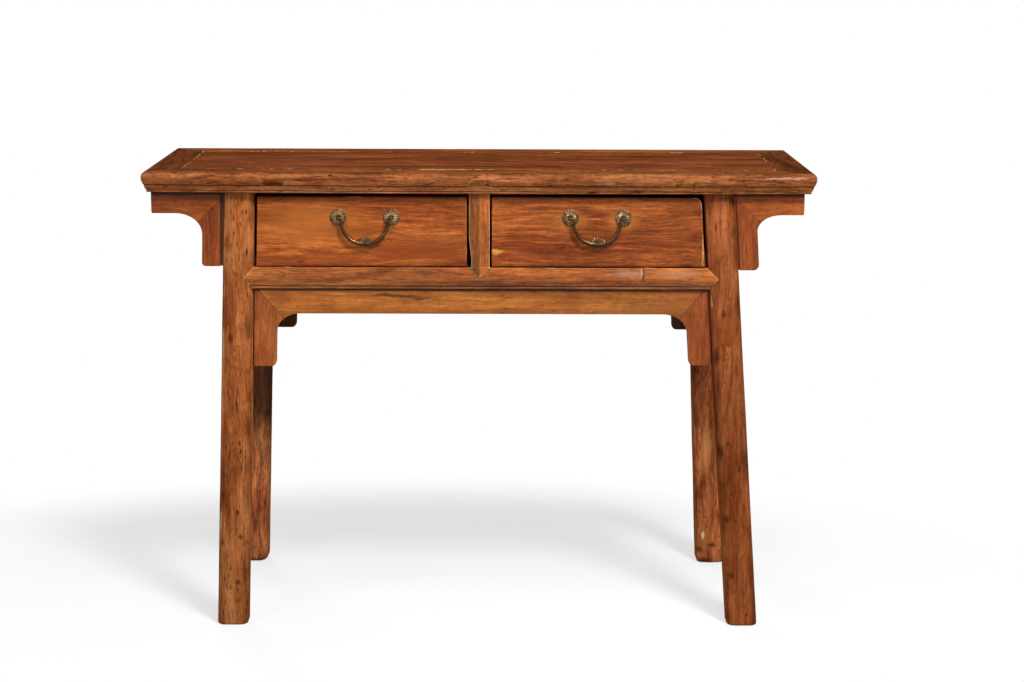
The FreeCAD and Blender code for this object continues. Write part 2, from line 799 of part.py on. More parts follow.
def side_panel(name):
    """The board that closes one end of the case.

    It is housed in both legs and the side rail, and rises between the long members to the panel of the top.
    """
    side = SIDES[name]
    bounds = side_panel_bounds(side)
    for owner in end_legs(side):
        sockets[owner].append(block(f"{owner}_side_groove", *bounds, gap="joint_gap"))
    rise = both(f"min({SIDE_REACH}; half_depth - frame_width - joint_gap)")
    riser = block(f"{name}_panel_riser", bounds[0], rise, (bounds[2][0], "panel_under - joint_gap"))
    whole = fuse(f"{name}_panel", block(f"{name}_panel_field", *bounds), riser)
    whole.Label = f"side_panel_{name}"
    piece(whole)


def back_panel_bounds():
    half = "board_thickness / 2"
    return (both("leg_inside + back_panel_bite"), (f"back_panel_face - {half}", f"back_panel_face + {half}"),
            ("rail_top - groove_depth", "under_top + groove_depth"))


def back_panel():
    """The board that closes the back, housed in the rear legs, the rear rail and the top."""
    bounds = back_panel_bounds()
    for owner in ("rear_left", "rear_right"):
        sockets[owner].append(block(f"{owner}_back_groove", *bounds, gap="joint_gap"))
    piece(block("back_panel", *bounds))


# Aprons under the rails, mitred to the spandrels that run down the legs
def legs_at(end):
    """The two legs at one end of the case, left then right."""
    return [name for side in (LEFT, RIGHT) for name, data in LEGS.items() if data[:2] == (side, end)]


def spandrel_foot(leg):
    """Corners of the spandrel beside a leg, from the rail down and back up to the apron's edge."""
    def beside_leg(level, distance):
        return f"{LEGS[leg][0]} * ({leg_inner(leg, level)} - {distance})", level

    return [beside_leg("rail_bottom", "spandrel_gap"), beside_leg("spandrel_low", "spandrel_gap"),
            beside_leg("spandrel_low", "spandrel_width"), beside_leg("apron_low", "spandrel_width")]


def beyond_mitre(name, leg, side, ys):
    """The room on the leg's side of the mitre between apron and spandrel."""
    top = f"({leg_inner(leg, 'rail_bottom')} - mitre_inset)"
    low = f"({leg_inner(leg, 'apron_low')} - spandrel_width - mitre_shift)"
    slope = f"(({top} - {low}) / apron_height)"
    roof, floor = "(rail_bottom + overrun)", "(spandrel_low - overrun)"
    corners = [(f"{side} * ({top} + {slope} * overrun)", roof), (f"{side} * half_width", roof),
               (f"{side} * half_width", floor), (f"{side} * ({low} - {slope} * (apron_low - {floor}))", floor)]
    return prism(name, "XZ", corners, *ys)


def tongue(name, leg, face, levels, ys, gap="0"):
    """The tongue on a spandrel's edge, or its groove; face tells which face of the leg it enters."""
    side = LEGS[leg][0]
    inward = 1 if face is leg_inner else -1
    root, tip = "-(spandrel_gap + overrun)", f"(spandrel_tongue + {gap})"
    low, high = f"({levels[0]} - {gap})", f"({levels[1]} + {gap})"
    corners = [(f"{side} * ({face(leg, level)} + {inward} * {reach})", level)
               for level, reach in ((high, root), (high, tip), (low, tip), (low, root))]
    return prism(name, "XZ", corners, f"{ys[0]} - {gap}", f"{ys[1]} + {gap}")


def apron_set(name):
    """An apron and its two spandrels, cut from one curved outline along the mitres."""
    end = ENDS[name]
    ys = span(end, "apron_back", "apron_face")
    tongue_ys = span(end, "tongue_back", "tongue_front")
    left, right = (spandrel_foot(leg) for leg in legs_at(end))
    board = prism(f"{name}_apron_board", "XZ", right + left[::-1], *ys)
    round_corners(board, f"{name}_apron_curves", "spandrel_curve", [right[3], left[3]])
    round_corners(board, f"{name}_apron_corners", "spandrel_corner", [right[2], left[2]])
    rooms = []
    for leg, side in zip(legs_at(end), (LEFT, RIGHT)):
        room = beyond_mitre(f"{leg}_spandrel_room", leg, side, ys)
        rooms.append(room)
        limits = ("spandrel_low + spandrel_corner", "rail_bottom - spandrel_corner")
        sockets[leg].append(tongue(f"{leg}_spandrel_groove", leg, leg_inner, limits, tongue_ys, "joint_gap"))
        whole = fuse(f"{leg}_spandrel", common(f"{leg}_spandrel_board", board, room),
                     tongue(f"{leg}_spandrel_tongue", leg, leg_inner, limits, tongue_ys))
        whole.Label = f"spandrel_{leg}"
        piece(whole)
    whole = cut(f"{name}_apron", board, *rooms)
    whole.Label = f"apron_{name}"
    piece(whole)


def hanging_spandrel(leg):
    """The bracket outside a leg: an arm under the end of the top, mitred to a drop beside the leg."""
    side, end, _ = LEGS[leg]
    ys = span(end, "apron_back", "apron_face")
    tongue_ys = span(end, "tongue_back", "tongue_front")

    def beside_leg(level, distance):
        return f"{side} * ({leg_outer(leg, level)} + {distance})", level

    tip = f"{side} * (half_width - hanging_end_inset)"
    crook, heel = beside_leg("hanging_under", "hanging_width"), beside_leg("hanging_low", "hanging_width")
    board = prism(f"{leg}_hanging_board", "XZ", [
        beside_leg("under_top", "spandrel_gap"), (tip, "under_top"), (tip, "hanging_under"), crook, heel,
        beside_leg("hanging_low", "spandrel_gap")], *ys)
    round_corners(board, f"{leg}_hanging_curve", "hanging_curve", [crook])
    round_corners(board, f"{leg}_hanging_corner", "hanging_corner", [heel])
    start = f"{leg_outer(leg, 'hanging_under')} + hanging_width - hanging_mitre_shift"
    high, low = "hanging_under + 2 * hanging_height", "hanging_under - hanging_height"
    far = f"{side} * (half_width + overrun)"
    room = prism(f"{leg}_hanging_room", "XZ", [
        (f"{side} * ({start} - 2 * hanging_height)", high), (f"{side} * ({start} + hanging_height)", low),
        (far, low), (far, high)], *ys)
    arm = common(f"{leg}_hanging_arm", board, room)
    arm.Label = f"hanging_arm_{leg}"
    piece(arm)
    limits = ("hanging_low + hanging_corner", "hanging_under - hanging_corner")
    sockets[leg].append(tongue(f"{leg}_hanging_groove", leg, leg_outer, limits, tongue_ys, "joint_gap"))
    drop = fuse(f"{leg}_hanging_drop", cut(f"{leg}_hanging_drop_board", board, room),
                tongue(f"{leg}_hanging_tongue", leg, leg_outer, limits, tongue_ys))
    drop.Label = f"hanging_drop_{leg}"
    piece(drop)


# Runners between the rails carry the drawers, and the strips on them guide the drawer sides
RUNNERS = {
    "left": ("-(leg_inside - runner_clear)", "-(leg_inside - runner_clear - runner_width)"),
    "centre": both("centre_runner_width / 2"),
    "right": ("leg_inside - runner_clear - runner_width", "leg_inside - runner_clear"),
}
GUIDES = {
    "left": ("-(leg_inside - runner_clear)", "-(drawer_outer + guide_gap)"),
    "centre": both("drawer_inner - guide_gap"),
    "right": ("drawer_outer + guide_gap", "leg_inside - runner_clear"),
}


def runner_tenon(name, end):
    low, high = RUNNERS[name]
    return ((f"{low} + runner_tenon", f"{high} - runner_tenon"),
            span(end, "rail_back - overrun", "rail_back + runner_tenon"),
            ("rail_top - runner_height + runner_tenon / 2", "rail_top - runner_tenon / 2"))


def runner_mortises(end):
    return [block(f"{name}_runner_mortise", *runner_tenon(name, end), gap="joint_gap") for name in RUNNERS]


def runner(name):
    level = ("rail_top - runner_height", "rail_top")
    bar = block(f"{name}_runner_bar", RUNNERS[name], both("rail_back"), level)
    tenons = [block(f"{name}_runner_{end}_tenon", *runner_tenon(name, ENDS[end])) for end in ENDS]
    whole = fuse(f"{name}_runner", bar, *tenons)
    whole.Label = f"drawer_runner_{name}"
    piece(whole)


def guide(name):
    piece(block(f"drawer_guide_{name}", GUIDES[name], both("leg_y - leg_section / 2 - runner_clear"),
                ("rail_top", "rail_top + guide_height")))


# The drawers: dovetailed boxes whose fronts follow the lean of the legs
def tail(name, xs, ys, step, wide_front, gap="0"):
    """One dovetail in a drawer side, wide towards its end."""
    middle = f"(bottom_top + tail_pitch * {step + 0.5})"
    root, head = f"tail_width / 2 + {gap}", f"tail_width / 2 + tail_flare + {gap}"
    first, last = (head, root) if wide_front else (root, head)
    low, high = f"{xs[0]} - {gap}", f"{xs[1]} + {gap}"
    near, far = (f"{ys[0]} - {gap}", ys[1]) if wide_front else (ys[0], f"{ys[1]} + {gap}")
    solid = document.addObject("Part::Wedge", name)
    bind(solid, Xmin=low, Xmax=high, X2min=low, X2max=high, Ymin=near, Ymax=far,
         Zmin=f"{middle} - ({first})", Zmax=f"{middle} + {first}",
         Z2min=f"{middle} - ({last})", Z2max=f"{middle} + {last}")
    return solid


def drawer_bottom_bounds(side):
    bite = "side_thickness - bottom_tongue"
    return (span(side, f"drawer_inner + {bite}", f"drawer_outer - ({bite})"),
            ("-drawer_front_back - bottom_tongue", f"drawer_rear - ({bite})"), ("bottom_under", "bottom_top"))


def wall_bounds(side, wall):
    """Across-bounds of the inner or outer side of a drawer."""
    if wall == "inner":
        return span(side, "drawer_inner", "drawer_inner + side_thickness")
    return span(side, "drawer_outer - side_thickness", "drawer_outer")


def tail_bounds(end):
    if end == "front":
        return "-drawer_front_back - tail_length", "-drawer_front_back"
    return "drawer_rear - side_thickness", "drawer_rear"


def drawer_tails(name, side, wall, end, gap="0"):
    xs, ys = wall_bounds(side, wall), tail_bounds(end)
    return [tail(f"{name}_{wall}_{end}_tail", xs, ys, step, end == "front", gap) for step in range(TAIL_COUNT)]


def shank_hole(name, way):
    radius, length = "shank_diameter / 2 + joint_gap", "front_thickness + 2 * overrun"
    start = (eye_x(name, way), "-drawer_face - overrun", "eye_level")
    return rod(f"{name}_shank_hole", radius, length, start, ALONG_Y)


def drawer_front(name, side, bottom_groove):
    def leg_edge(level):
        return f"{side} * ({leg_inner(front_leg(side), level)} - drawer_leg_gap)", level

    inner = f"{side} * drawer_inner"
    corners = [(inner, "drawer_under"), leg_edge("drawer_under"),
               leg_edge("drawer_top"), (inner, "drawer_top")]
    board = prism(f"{name}_front_board", "XZ", corners, "-drawer_face", "-drawer_front_back")
    tools = [bottom_groove, shank_hole(name, LEFT), shank_hole(name, RIGHT)]
    for wall in ("inner", "outer"):
        tools += drawer_tails(f"{name}_front_socket", side, wall, "front", "joint_gap")
    whole = cut(f"{name}_front", board, *tools)
    whole.Label = f"{name}_drawer_front"
    piece(whole)


def drawer_side(name, side, wall, bottom_groove):
    body = block(f"{name}_{wall}_wall", wall_bounds(side, wall),
                 ("-drawer_front_back", "drawer_rear - side_thickness"), ("drawer_under", "side_top"))
    tails = [solid for end in ENDS for solid in drawer_tails(name, side, wall, end)]
    whole = cut(f"{name}_{wall}_side", fuse(f"{name}_{wall}_tailed", body, *tails), bottom_groove)
    whole.Label = f"{name}_drawer_{wall}_side"
    piece(whole)


def drawer_back(name, side, bottom_groove):
    board = block(f"{name}_back_board", span(side, "drawer_inner", "drawer_outer"),
                  ("drawer_rear - side_thickness", "drawer_rear"), ("drawer_under", "side_top"))
    tools = [bottom_groove]
    for wall in ("inner", "outer"):
        tools += drawer_tails(f"{name}_back_socket", side, wall, "rear", "joint_gap")
    whole = cut(f"{name}_back", board, *tools)
    whole.Label = f"{name}_drawer_back"
    piece(whole)


def drawer(name):
    side = SIDES[name]
    bounds = drawer_bottom_bounds(side)
    groove = block(f"{name}_bottom_groove", *bounds, gap="joint_gap")
    drawer_front(name, side, groove)
    for wall in ("inner", "outer"):
        drawer_side(name, side, wall, groove)
    drawer_back(name, side, groove)
    piece(block(f"{name}_drawer_bottom", *bounds))


# The pulls: two rosettes, two eye posts clenched inside the front, and a swinging bail
def pull_x(name):
    return f"({SIDES[name]} * (drawer_middle + {name}_pull_shift))"


def eye_x(name, way):
    return f"{pull_x(name)} + {way} * eye_spacing / 2"


def rosette(name, way):
    """A domed plate with a petalled rim and a hole for the post."""
    body = document.addObject("PartDesign::Body", f"{name}_rosette")
    section = sketch_on(body, "XZ", f"{name}_rosette_section", "0")
    hole, edge = "shank_diameter / 2 + joint_gap", "rosette_diameter / 2"
    rise = "(rosette_dome - rosette_rim)"
    crown = f"((rosette_diameter / 2) ^ 2 + {rise} ^ 2) / (2 * {rise})"
    draw(section, [(hole, "0"), (edge, "0"), (edge, "rosette_rim"), (hole, "rosette_dome", crown, 1)])
    turned = body.newObject("PartDesign::Revolution", f"{name}_rosette_turned")
    turned.Profile = section
    turned.ReferenceAxis = (section, ["V_Axis"])
    turned.Angle = 360
    document.recompute()
    plain = body.Shape.Volume
    notch = sketch_on(body, "XY", f"{name}_rosette_notch", "0")
    rim_point, upright = FreeCAD.Vector(number(edge), 0, 0), FreeCAD.Vector(0, 0, 1)
    bite = notch.addGeometry(Part.Circle(rim_point, upright, number("petal_notch")))
    notch.addConstraint(Sketcher.Constraint("PointOnObject", bite, 3, -1))
    for kind, target, text in (("DistanceX", (-1, 1, bite, 3), edge), ("Radius", (bite,), "petal_notch")):
        rule = notch.addConstraint(Sketcher.Constraint(kind, *target, number(text)))
        notch.setExpression(f"Constraints[{rule}]", linked(text))
    pocket = body.newObject("PartDesign::Pocket", f"{name}_rosette_scallop")
    pocket.Profile = notch
    pocket.Type = "ThroughAll"
    pocket.Reversed = True
    document.recompute()
    ring = body.newObject("PartDesign::PolarPattern", f"{name}_rosette_petals")
    ring.Originals = [pocket]
    ring.Axis = (notch, ["N_Axis"])
    ring.Angle = 360
    bind(ring, Occurrences="petal_count")
    body.Tip = ring
    document.recompute()
    if body.Shape.Volume >= plain:
        raise RuntimeError(f"{name} rosette has no petals")
    body.Placement = FreeCAD.Placement(FreeCAD.Vector(), FreeCAD.Rotation(FreeCAD.Vector(1, 0, 0), 90))
    place(body, eye_x(name, way), "-drawer_face", "eye_level")
    return body


def eye_post(name, way):
    """A looped post: the eye that the bail hangs in, its shank, and the ends clenched behind the front."""
    x = eye_x(name, way)
    eye = document.addObject("Part::Torus", f"{name}_eye")
    bind(eye, Radius1="eye_ring", Radius2="eye_wire")
    eye.Placement = FreeCAD.Placement(FreeCAD.Vector(), FreeCAD.Rotation(*ALONG_X))
    place(eye, x, "-eye_line", "eye_level")
    start, length = "eye_ring - eye_line", "eye_stand - eye_ring + front_thickness + clench_thickness"
    shank = rod(f"{name}_shank", "shank_diameter / 2", length, (x, start, "eye_level"), ALONG_Y)
    clench = block(f"{name}_clench", (f"{x} - clench_length / 2", f"{x} + clench_length / 2"),
                   ("-drawer_front_back", "-drawer_front_back + clench_thickness"),
                   ("eye_level - clench_width / 2", "eye_level + clench_width / 2"))
    return fuse(f"{name}_post", eye, shank, clench)


def bend(name, radius, thickness, spot, sweep, turn):
    """Part of a ring of round rod, standing in the plane of the bail."""
    ring = document.addObject("Part::Torus", name)
    ring.Angle3 = sweep
    bind(ring, Radius1=radius, Radius2=f"{thickness} / 2")
    upright = FreeCAD.Rotation(FreeCAD.Vector(1, 0, 0), 90)
    turned = upright * FreeCAD.Rotation(FreeCAD.Vector(0, 0, 1), turn)
    ring.Placement = FreeCAD.Placement(FreeCAD.Vector(), turned)
    place(ring, spot[0], "-eye_line", spot[1])
    return ring


def bail_end(name, way):
    """One arm of the bail, its elbow and the pin that passes through the eye."""
    arm_x = f"{pull_x(name)} + {way} * bail_radius"
    elbow_x, elbow_z = f"{arm_x} + {way} * bail_pin", "eye_level - bail_pin"
    pin_x = elbow_x if way == RIGHT else f"{elbow_x} - bail_pin_length"
    arm_foot, pin_start = (arm_x, "-eye_line", f"{elbow_z} - bail_arm"), (pin_x, "-eye_line", "eye_level")
    return [
        rod(f"{name}_bail_arm", "bail_rod / 2", "bail_arm", arm_foot),
        bend(f"{name}_bail_elbow", "bail_pin", "bail_pin", (elbow_x, elbow_z), 90, 0 if way == LEFT else 90),
        rod(f"{name}_bail_pin", "bail_pin / 2", "bail_pin_length", pin_start, ALONG_X)]


def bail(name):
    """The hanging bail: a half ring between two arms, with a leaf standing on its grip."""
    level = "eye_level - bail_pin - bail_arm"
    bow = bend(f"{name}_bail_bow", "bail_radius", "bail_rod", (pull_x(name), level), 180, 180)
    leaf = document.addObject("Part::Ellipsoid", f"{name}_bail_leaf")
    leaf.Angle1 = 0
    bind(leaf, Radius1="leaf_height", Radius2="leaf_width / 2", Radius3="leaf_thickness / 2")
    place(leaf, pull_x(name), "-eye_line", f"{level} - bail_radius")
    piece(fuse(f"{name}_bail", bow, *bail_end(name, LEFT), *bail_end(name, RIGHT), leaf))


def pull(name):
    piece(group(f"{name}_rosettes", *[rosette(name, way) for way in (LEFT, RIGHT)]))
    piece(group(f"{name}_eye_posts", *[eye_post(name, way) for way in (LEFT, RIGHT)]))
    bail(name)


def check():
    """Stops unless every object computed and every piece is a sound solid."""
    document.recompute()
    for item in document.Objects:
        if "Invalid" in item.State or "Error" in item.State:
            raise RuntimeError(f"{item.Name} failed: {item.getStatusString()}")
    for item in pieces:
        if item.Shape.isNull() or not item.Shape.isValid() or not item.Shape.Solids:
            raise RuntimeError(f"{item.Label} is not a sound solid")


def write():
    os.makedirs("parts", exist_ok=True)
    for item in pieces:
        item.Shape.exportStep(f"parts/{item.Label}.step")


make_sheets()
for leg_name in LEGS:
    leg_blank(leg_name)
make_top()
muntin()
drawer_rail()
rear_rail()
for side_name in SIDES:
    side_rail(side_name)
    side_stretcher(side_name)
    side_panel(side_name)
back_panel()
for end_name in ENDS:
    apron_set(end_name)
for leg_name in LEGS:
    hanging_spandrel(leg_name)
for leg_name in LEGS:
    finished_leg(leg_name)
for runner_name in RUNNERS:
    runner(runner_name)
    guide(runner_name)
for side_name in SIDES:
    drawer(side_name)
    pull(side_name)
check()
write()
print(len(pieces), "pieces written")
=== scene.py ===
import math

import bmesh
import bpy
from mathutils import Matrix, Vector, noise


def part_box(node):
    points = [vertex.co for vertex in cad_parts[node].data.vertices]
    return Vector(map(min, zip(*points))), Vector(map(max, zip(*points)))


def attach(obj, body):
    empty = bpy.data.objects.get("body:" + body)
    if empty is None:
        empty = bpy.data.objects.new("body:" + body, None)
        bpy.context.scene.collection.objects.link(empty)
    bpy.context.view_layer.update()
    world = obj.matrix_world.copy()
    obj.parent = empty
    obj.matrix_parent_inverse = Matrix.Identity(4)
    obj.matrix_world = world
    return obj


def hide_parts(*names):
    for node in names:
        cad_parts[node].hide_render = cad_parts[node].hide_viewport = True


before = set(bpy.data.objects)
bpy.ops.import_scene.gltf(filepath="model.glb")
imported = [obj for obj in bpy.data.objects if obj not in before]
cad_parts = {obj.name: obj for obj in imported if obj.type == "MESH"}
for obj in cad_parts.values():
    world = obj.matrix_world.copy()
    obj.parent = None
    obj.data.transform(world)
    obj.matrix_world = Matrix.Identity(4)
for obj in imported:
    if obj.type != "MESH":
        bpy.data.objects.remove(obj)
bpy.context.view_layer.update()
mm = 0.001

# Legs
# Four square posts of old waxed hardwood with rounded arrises, splayed to the sides and to front and rear.
# The drawer rail is let into their faces, and the tenons of the end stretchers pass right through them.
LEGS = {"front_left": (-1, -1), "front_right": (1, -1), "rear_left": (-1, 1), "rear_right": (1, 1)}
LEG_HALF, LEG_CORNER, REAR_WIDTH = 28 * mm, 15 * mm, 1.055
LEFT_FRONT_ARRIS, RIGHT_FRONT_ARRIS = 2, 3
FOOT_ROUND = {"front_left": 4 * mm, "front_right": 4 * mm, "rear_left": 14 * mm, "rear_right": 7 * mm}
UNDER_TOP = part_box("top_front_member")[0].z
RAIL_TOP, RAIL_BOTTOM = 657 * mm, 618 * mm
RAIL_MIDDLE = (RAIL_TOP + RAIL_BOTTOM) / 2
RAIL_FACE, LIP_DEPTH, PAST_FRONT = 207.45 * mm, 8 * mm, 250 * mm
SHOULDER_REACH, SHOULDER_ROOT, JOINT_LINE = 18 * mm, 380 * mm, 0.6 * mm
STRETCHER_LEVEL, STRETCHER_HEIGHT, TENON_WIDTH, TENON_GAP = 496 * mm, 40 * mm, 12 * mm, 0.35 * mm
MORTISE_START, MORTISE_END = 140 * mm, 260 * mm


def leg_ends(leg):
    """The middle of a leg at the floor and under the top, from the CAD leg's outer foot and inner head."""
    side, end = LEGS[leg]
    low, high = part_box(leg + "_leg")
    outer = Vector((high.x if side > 0 else low.x, high.y if end > 0 else low.y, 0))
    inner = Vector((low.x if side > 0 else high.x, low.y if end > 0 else high.y, UNDER_TOP))
    inset = Vector((side, end, 0)) * LEG_HALF
    return outer - inset, inner + inset


LEG_ENDS = {leg: leg_ends(leg) for leg in LEGS}


def leg_middle(leg, level):
    foot, head = LEG_ENDS[leg]
    return foot.lerp(head, level / UNDER_TOP)


def beside_leg(leg, level, distance):
    """The x of a line at a distance from a leg's inner face, towards the middle of the coffer."""
    return leg_middle(leg, level).x - LEGS[leg][0] * (LEG_HALF + distance)


def outside_leg(leg, level, distance):
    """The x of a line at a distance from a leg's outer face, towards the end of the coffer."""
    return leg_middle(leg, level).x + LEGS[leg][0] * (LEG_HALF + distance)


def share_of(value, start, reach):
    """How far a value has come from start over a reach, from 0 to 1."""
    return min(1, max(0, (value - start) / reach))


def quarter_turn(steps):
    return [math.pi / 2 * step / steps for step in range(steps + 1)]


def bridge(skin, rows, closed=True):
    """Faces between each row of points and the next; a closed row runs round to its start."""
    for near, far in zip(rows, rows[1:]):
        for i in range(0 if closed else 1, len(near)):
            skin.faces.new((near[i - 1], near[i], far[i], far[i - 1]))


def loft(rings):
    """A closed skin over a row of rings, each a list of places with how worn the surface is there; on some
    pieces that value also carries painted highlights and painted shade.
    """
    skin = bmesh.new()
    wear_and_painted_light = skin.verts.layers.float.new("wear_and_painted_light")
    rows = []
    for ring in rings:
        rows.append([skin.verts.new(place) for place, _ in ring])
        for vert, (_, worn) in zip(rows[-1], ring):
            vert[wear_and_painted_light] = worn
    bridge(skin, rows)
    skin.faces.new(rows[0])
    skin.faces.new(rows[-1][::-1])
    bmesh.ops.recalc_face_normals(skin, faces=skin.faces)
    return skin


def prism(outline, near, far, worn=0):
    """A plain block with an outline seen from the front, between two distances from the centre plane."""
    return loft([[((x, y, z), worn) for x, z in outline] for y in (near, far)])


def oblong(middle, half, low, high):
    return [(middle - half, low), (middle + half, low), (middle + half, high), (middle - half, high)]


def to_piece(name, skin, finish=None, sharp=40):
    data = bpy.data.meshes.new(name)
    skin.to_mesh(data)
    skin.free()
    data.polygons.foreach_set("use_smooth", [True] * len(data.polygons))
    data.set_sharp_from_angle(angle=math.radians(sharp))
    if finish:
        data.materials.append(finish)
    piece = bpy.data.objects.new(name, data)
    bpy.context.scene.collection.objects.link(piece)
    return piece


def carve(piece, cutters, sharp):
    """Cuts the room for other pieces out of a piece."""
    for cutter in cutters:
        cut = piece.modifiers.new("cut", "BOOLEAN")
        cut.object, cut.operation, cut.solver = cutter, "DIFFERENCE", "EXACT"
    whole = piece.data
    seen = piece.evaluated_get(bpy.context.evaluated_depsgraph_get())
    piece.data = bpy.data.meshes.new_from_object(seen)
    piece.modifiers.clear()
    bpy.data.meshes.remove(whole)
    piece.data.set_sharp_from_angle(angle=math.radians(sharp))
    for cutter in cutters:
        bpy.data.objects.remove(cutter)


def settle(node, skin, finish, body="frame", cutters=(), sharp=40):
    """Makes a skin into a finished piece on its body, in place of the CAD node that it stands for."""
    piece = to_piece(f"{node}_worn", skin, finish, sharp)
    if cutters:
        carve(piece, cutters, sharp)
    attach(piece, body)
    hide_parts(node)


def add(tree, kind, sockets, **settings):
    """A node; sockets gives each input, by name or number, a value or another node's output."""
    node = tree.nodes.new(kind)
    for name, value in settings.items():
        setattr(node, name, value)
    for key, value in sockets.items():
        if isinstance(value, bpy.types.NodeSocket):
            tree.links.new(value, node.inputs[key])
        else:
            node.inputs[key].default_value = value
    return node


def sums(tree, operation, first, second):
    return add(tree, "ShaderNodeMath", {0: first, 1: second}, operation=operation).outputs[0]


def ranged(tree, value, start, end, low, high, smooth=False):
    kind = "SMOOTHSTEP" if smooth else "LINEAR"
    sockets = {"Value": value, "From Min": start, "From Max": end, "To Min": low, "To Max": high}
    return add(tree, "ShaderNodeMapRange", sockets, interpolation_type=kind).outputs[0]


def mixed(tree, factor, first, second, blend="MIX"):
    sockets = {0: factor, 6: first, 7: second}
    return add(tree, "ShaderNodeMix", sockets, data_type="RGBA", blend_type=blend).outputs[2]


def rgb(*values):
    return (*values, 1)


def toned(tree, value, tones, stops):
    """Dark, middle and light colours, at three stops of a value."""
    ramp = add(tree, "ShaderNodeValToRGB", {"Fac": value})
    colours = ramp.color_ramp.elements
    colours.remove(colours[0])
    colours[0].position, colours[0].color = stops[0], rgb(*tones[0])
    for stop, tone in zip(stops[1:], tones[1:]):
        colours.new(stop).color = rgb(*tone)
    return ramp.outputs[0]


def cleared(owner):
    """The empty node tree of a material or of the world."""
    owner.use_nodes = True
    owner.node_tree.nodes.clear()
    return owner.node_tree


# The first dark colour serves specks, pores and dirt, and also painted shade; the bluish lift on worn arrises
# is partly polish and partly a painted sheen.
DIRT_AND_SHADE, BARE_WOOD, SCRATCHED_WOOD = rgb(0.022, 0.008, 0.004), rgb(0.6, 0.38, 0.17), rgb(0.5, 0.3, 0.16)
STAIN, POLISH_AND_SHEEN = rgb(0.66, 0.5, 0.5), rgb(1.5, 1.6, 1.9)


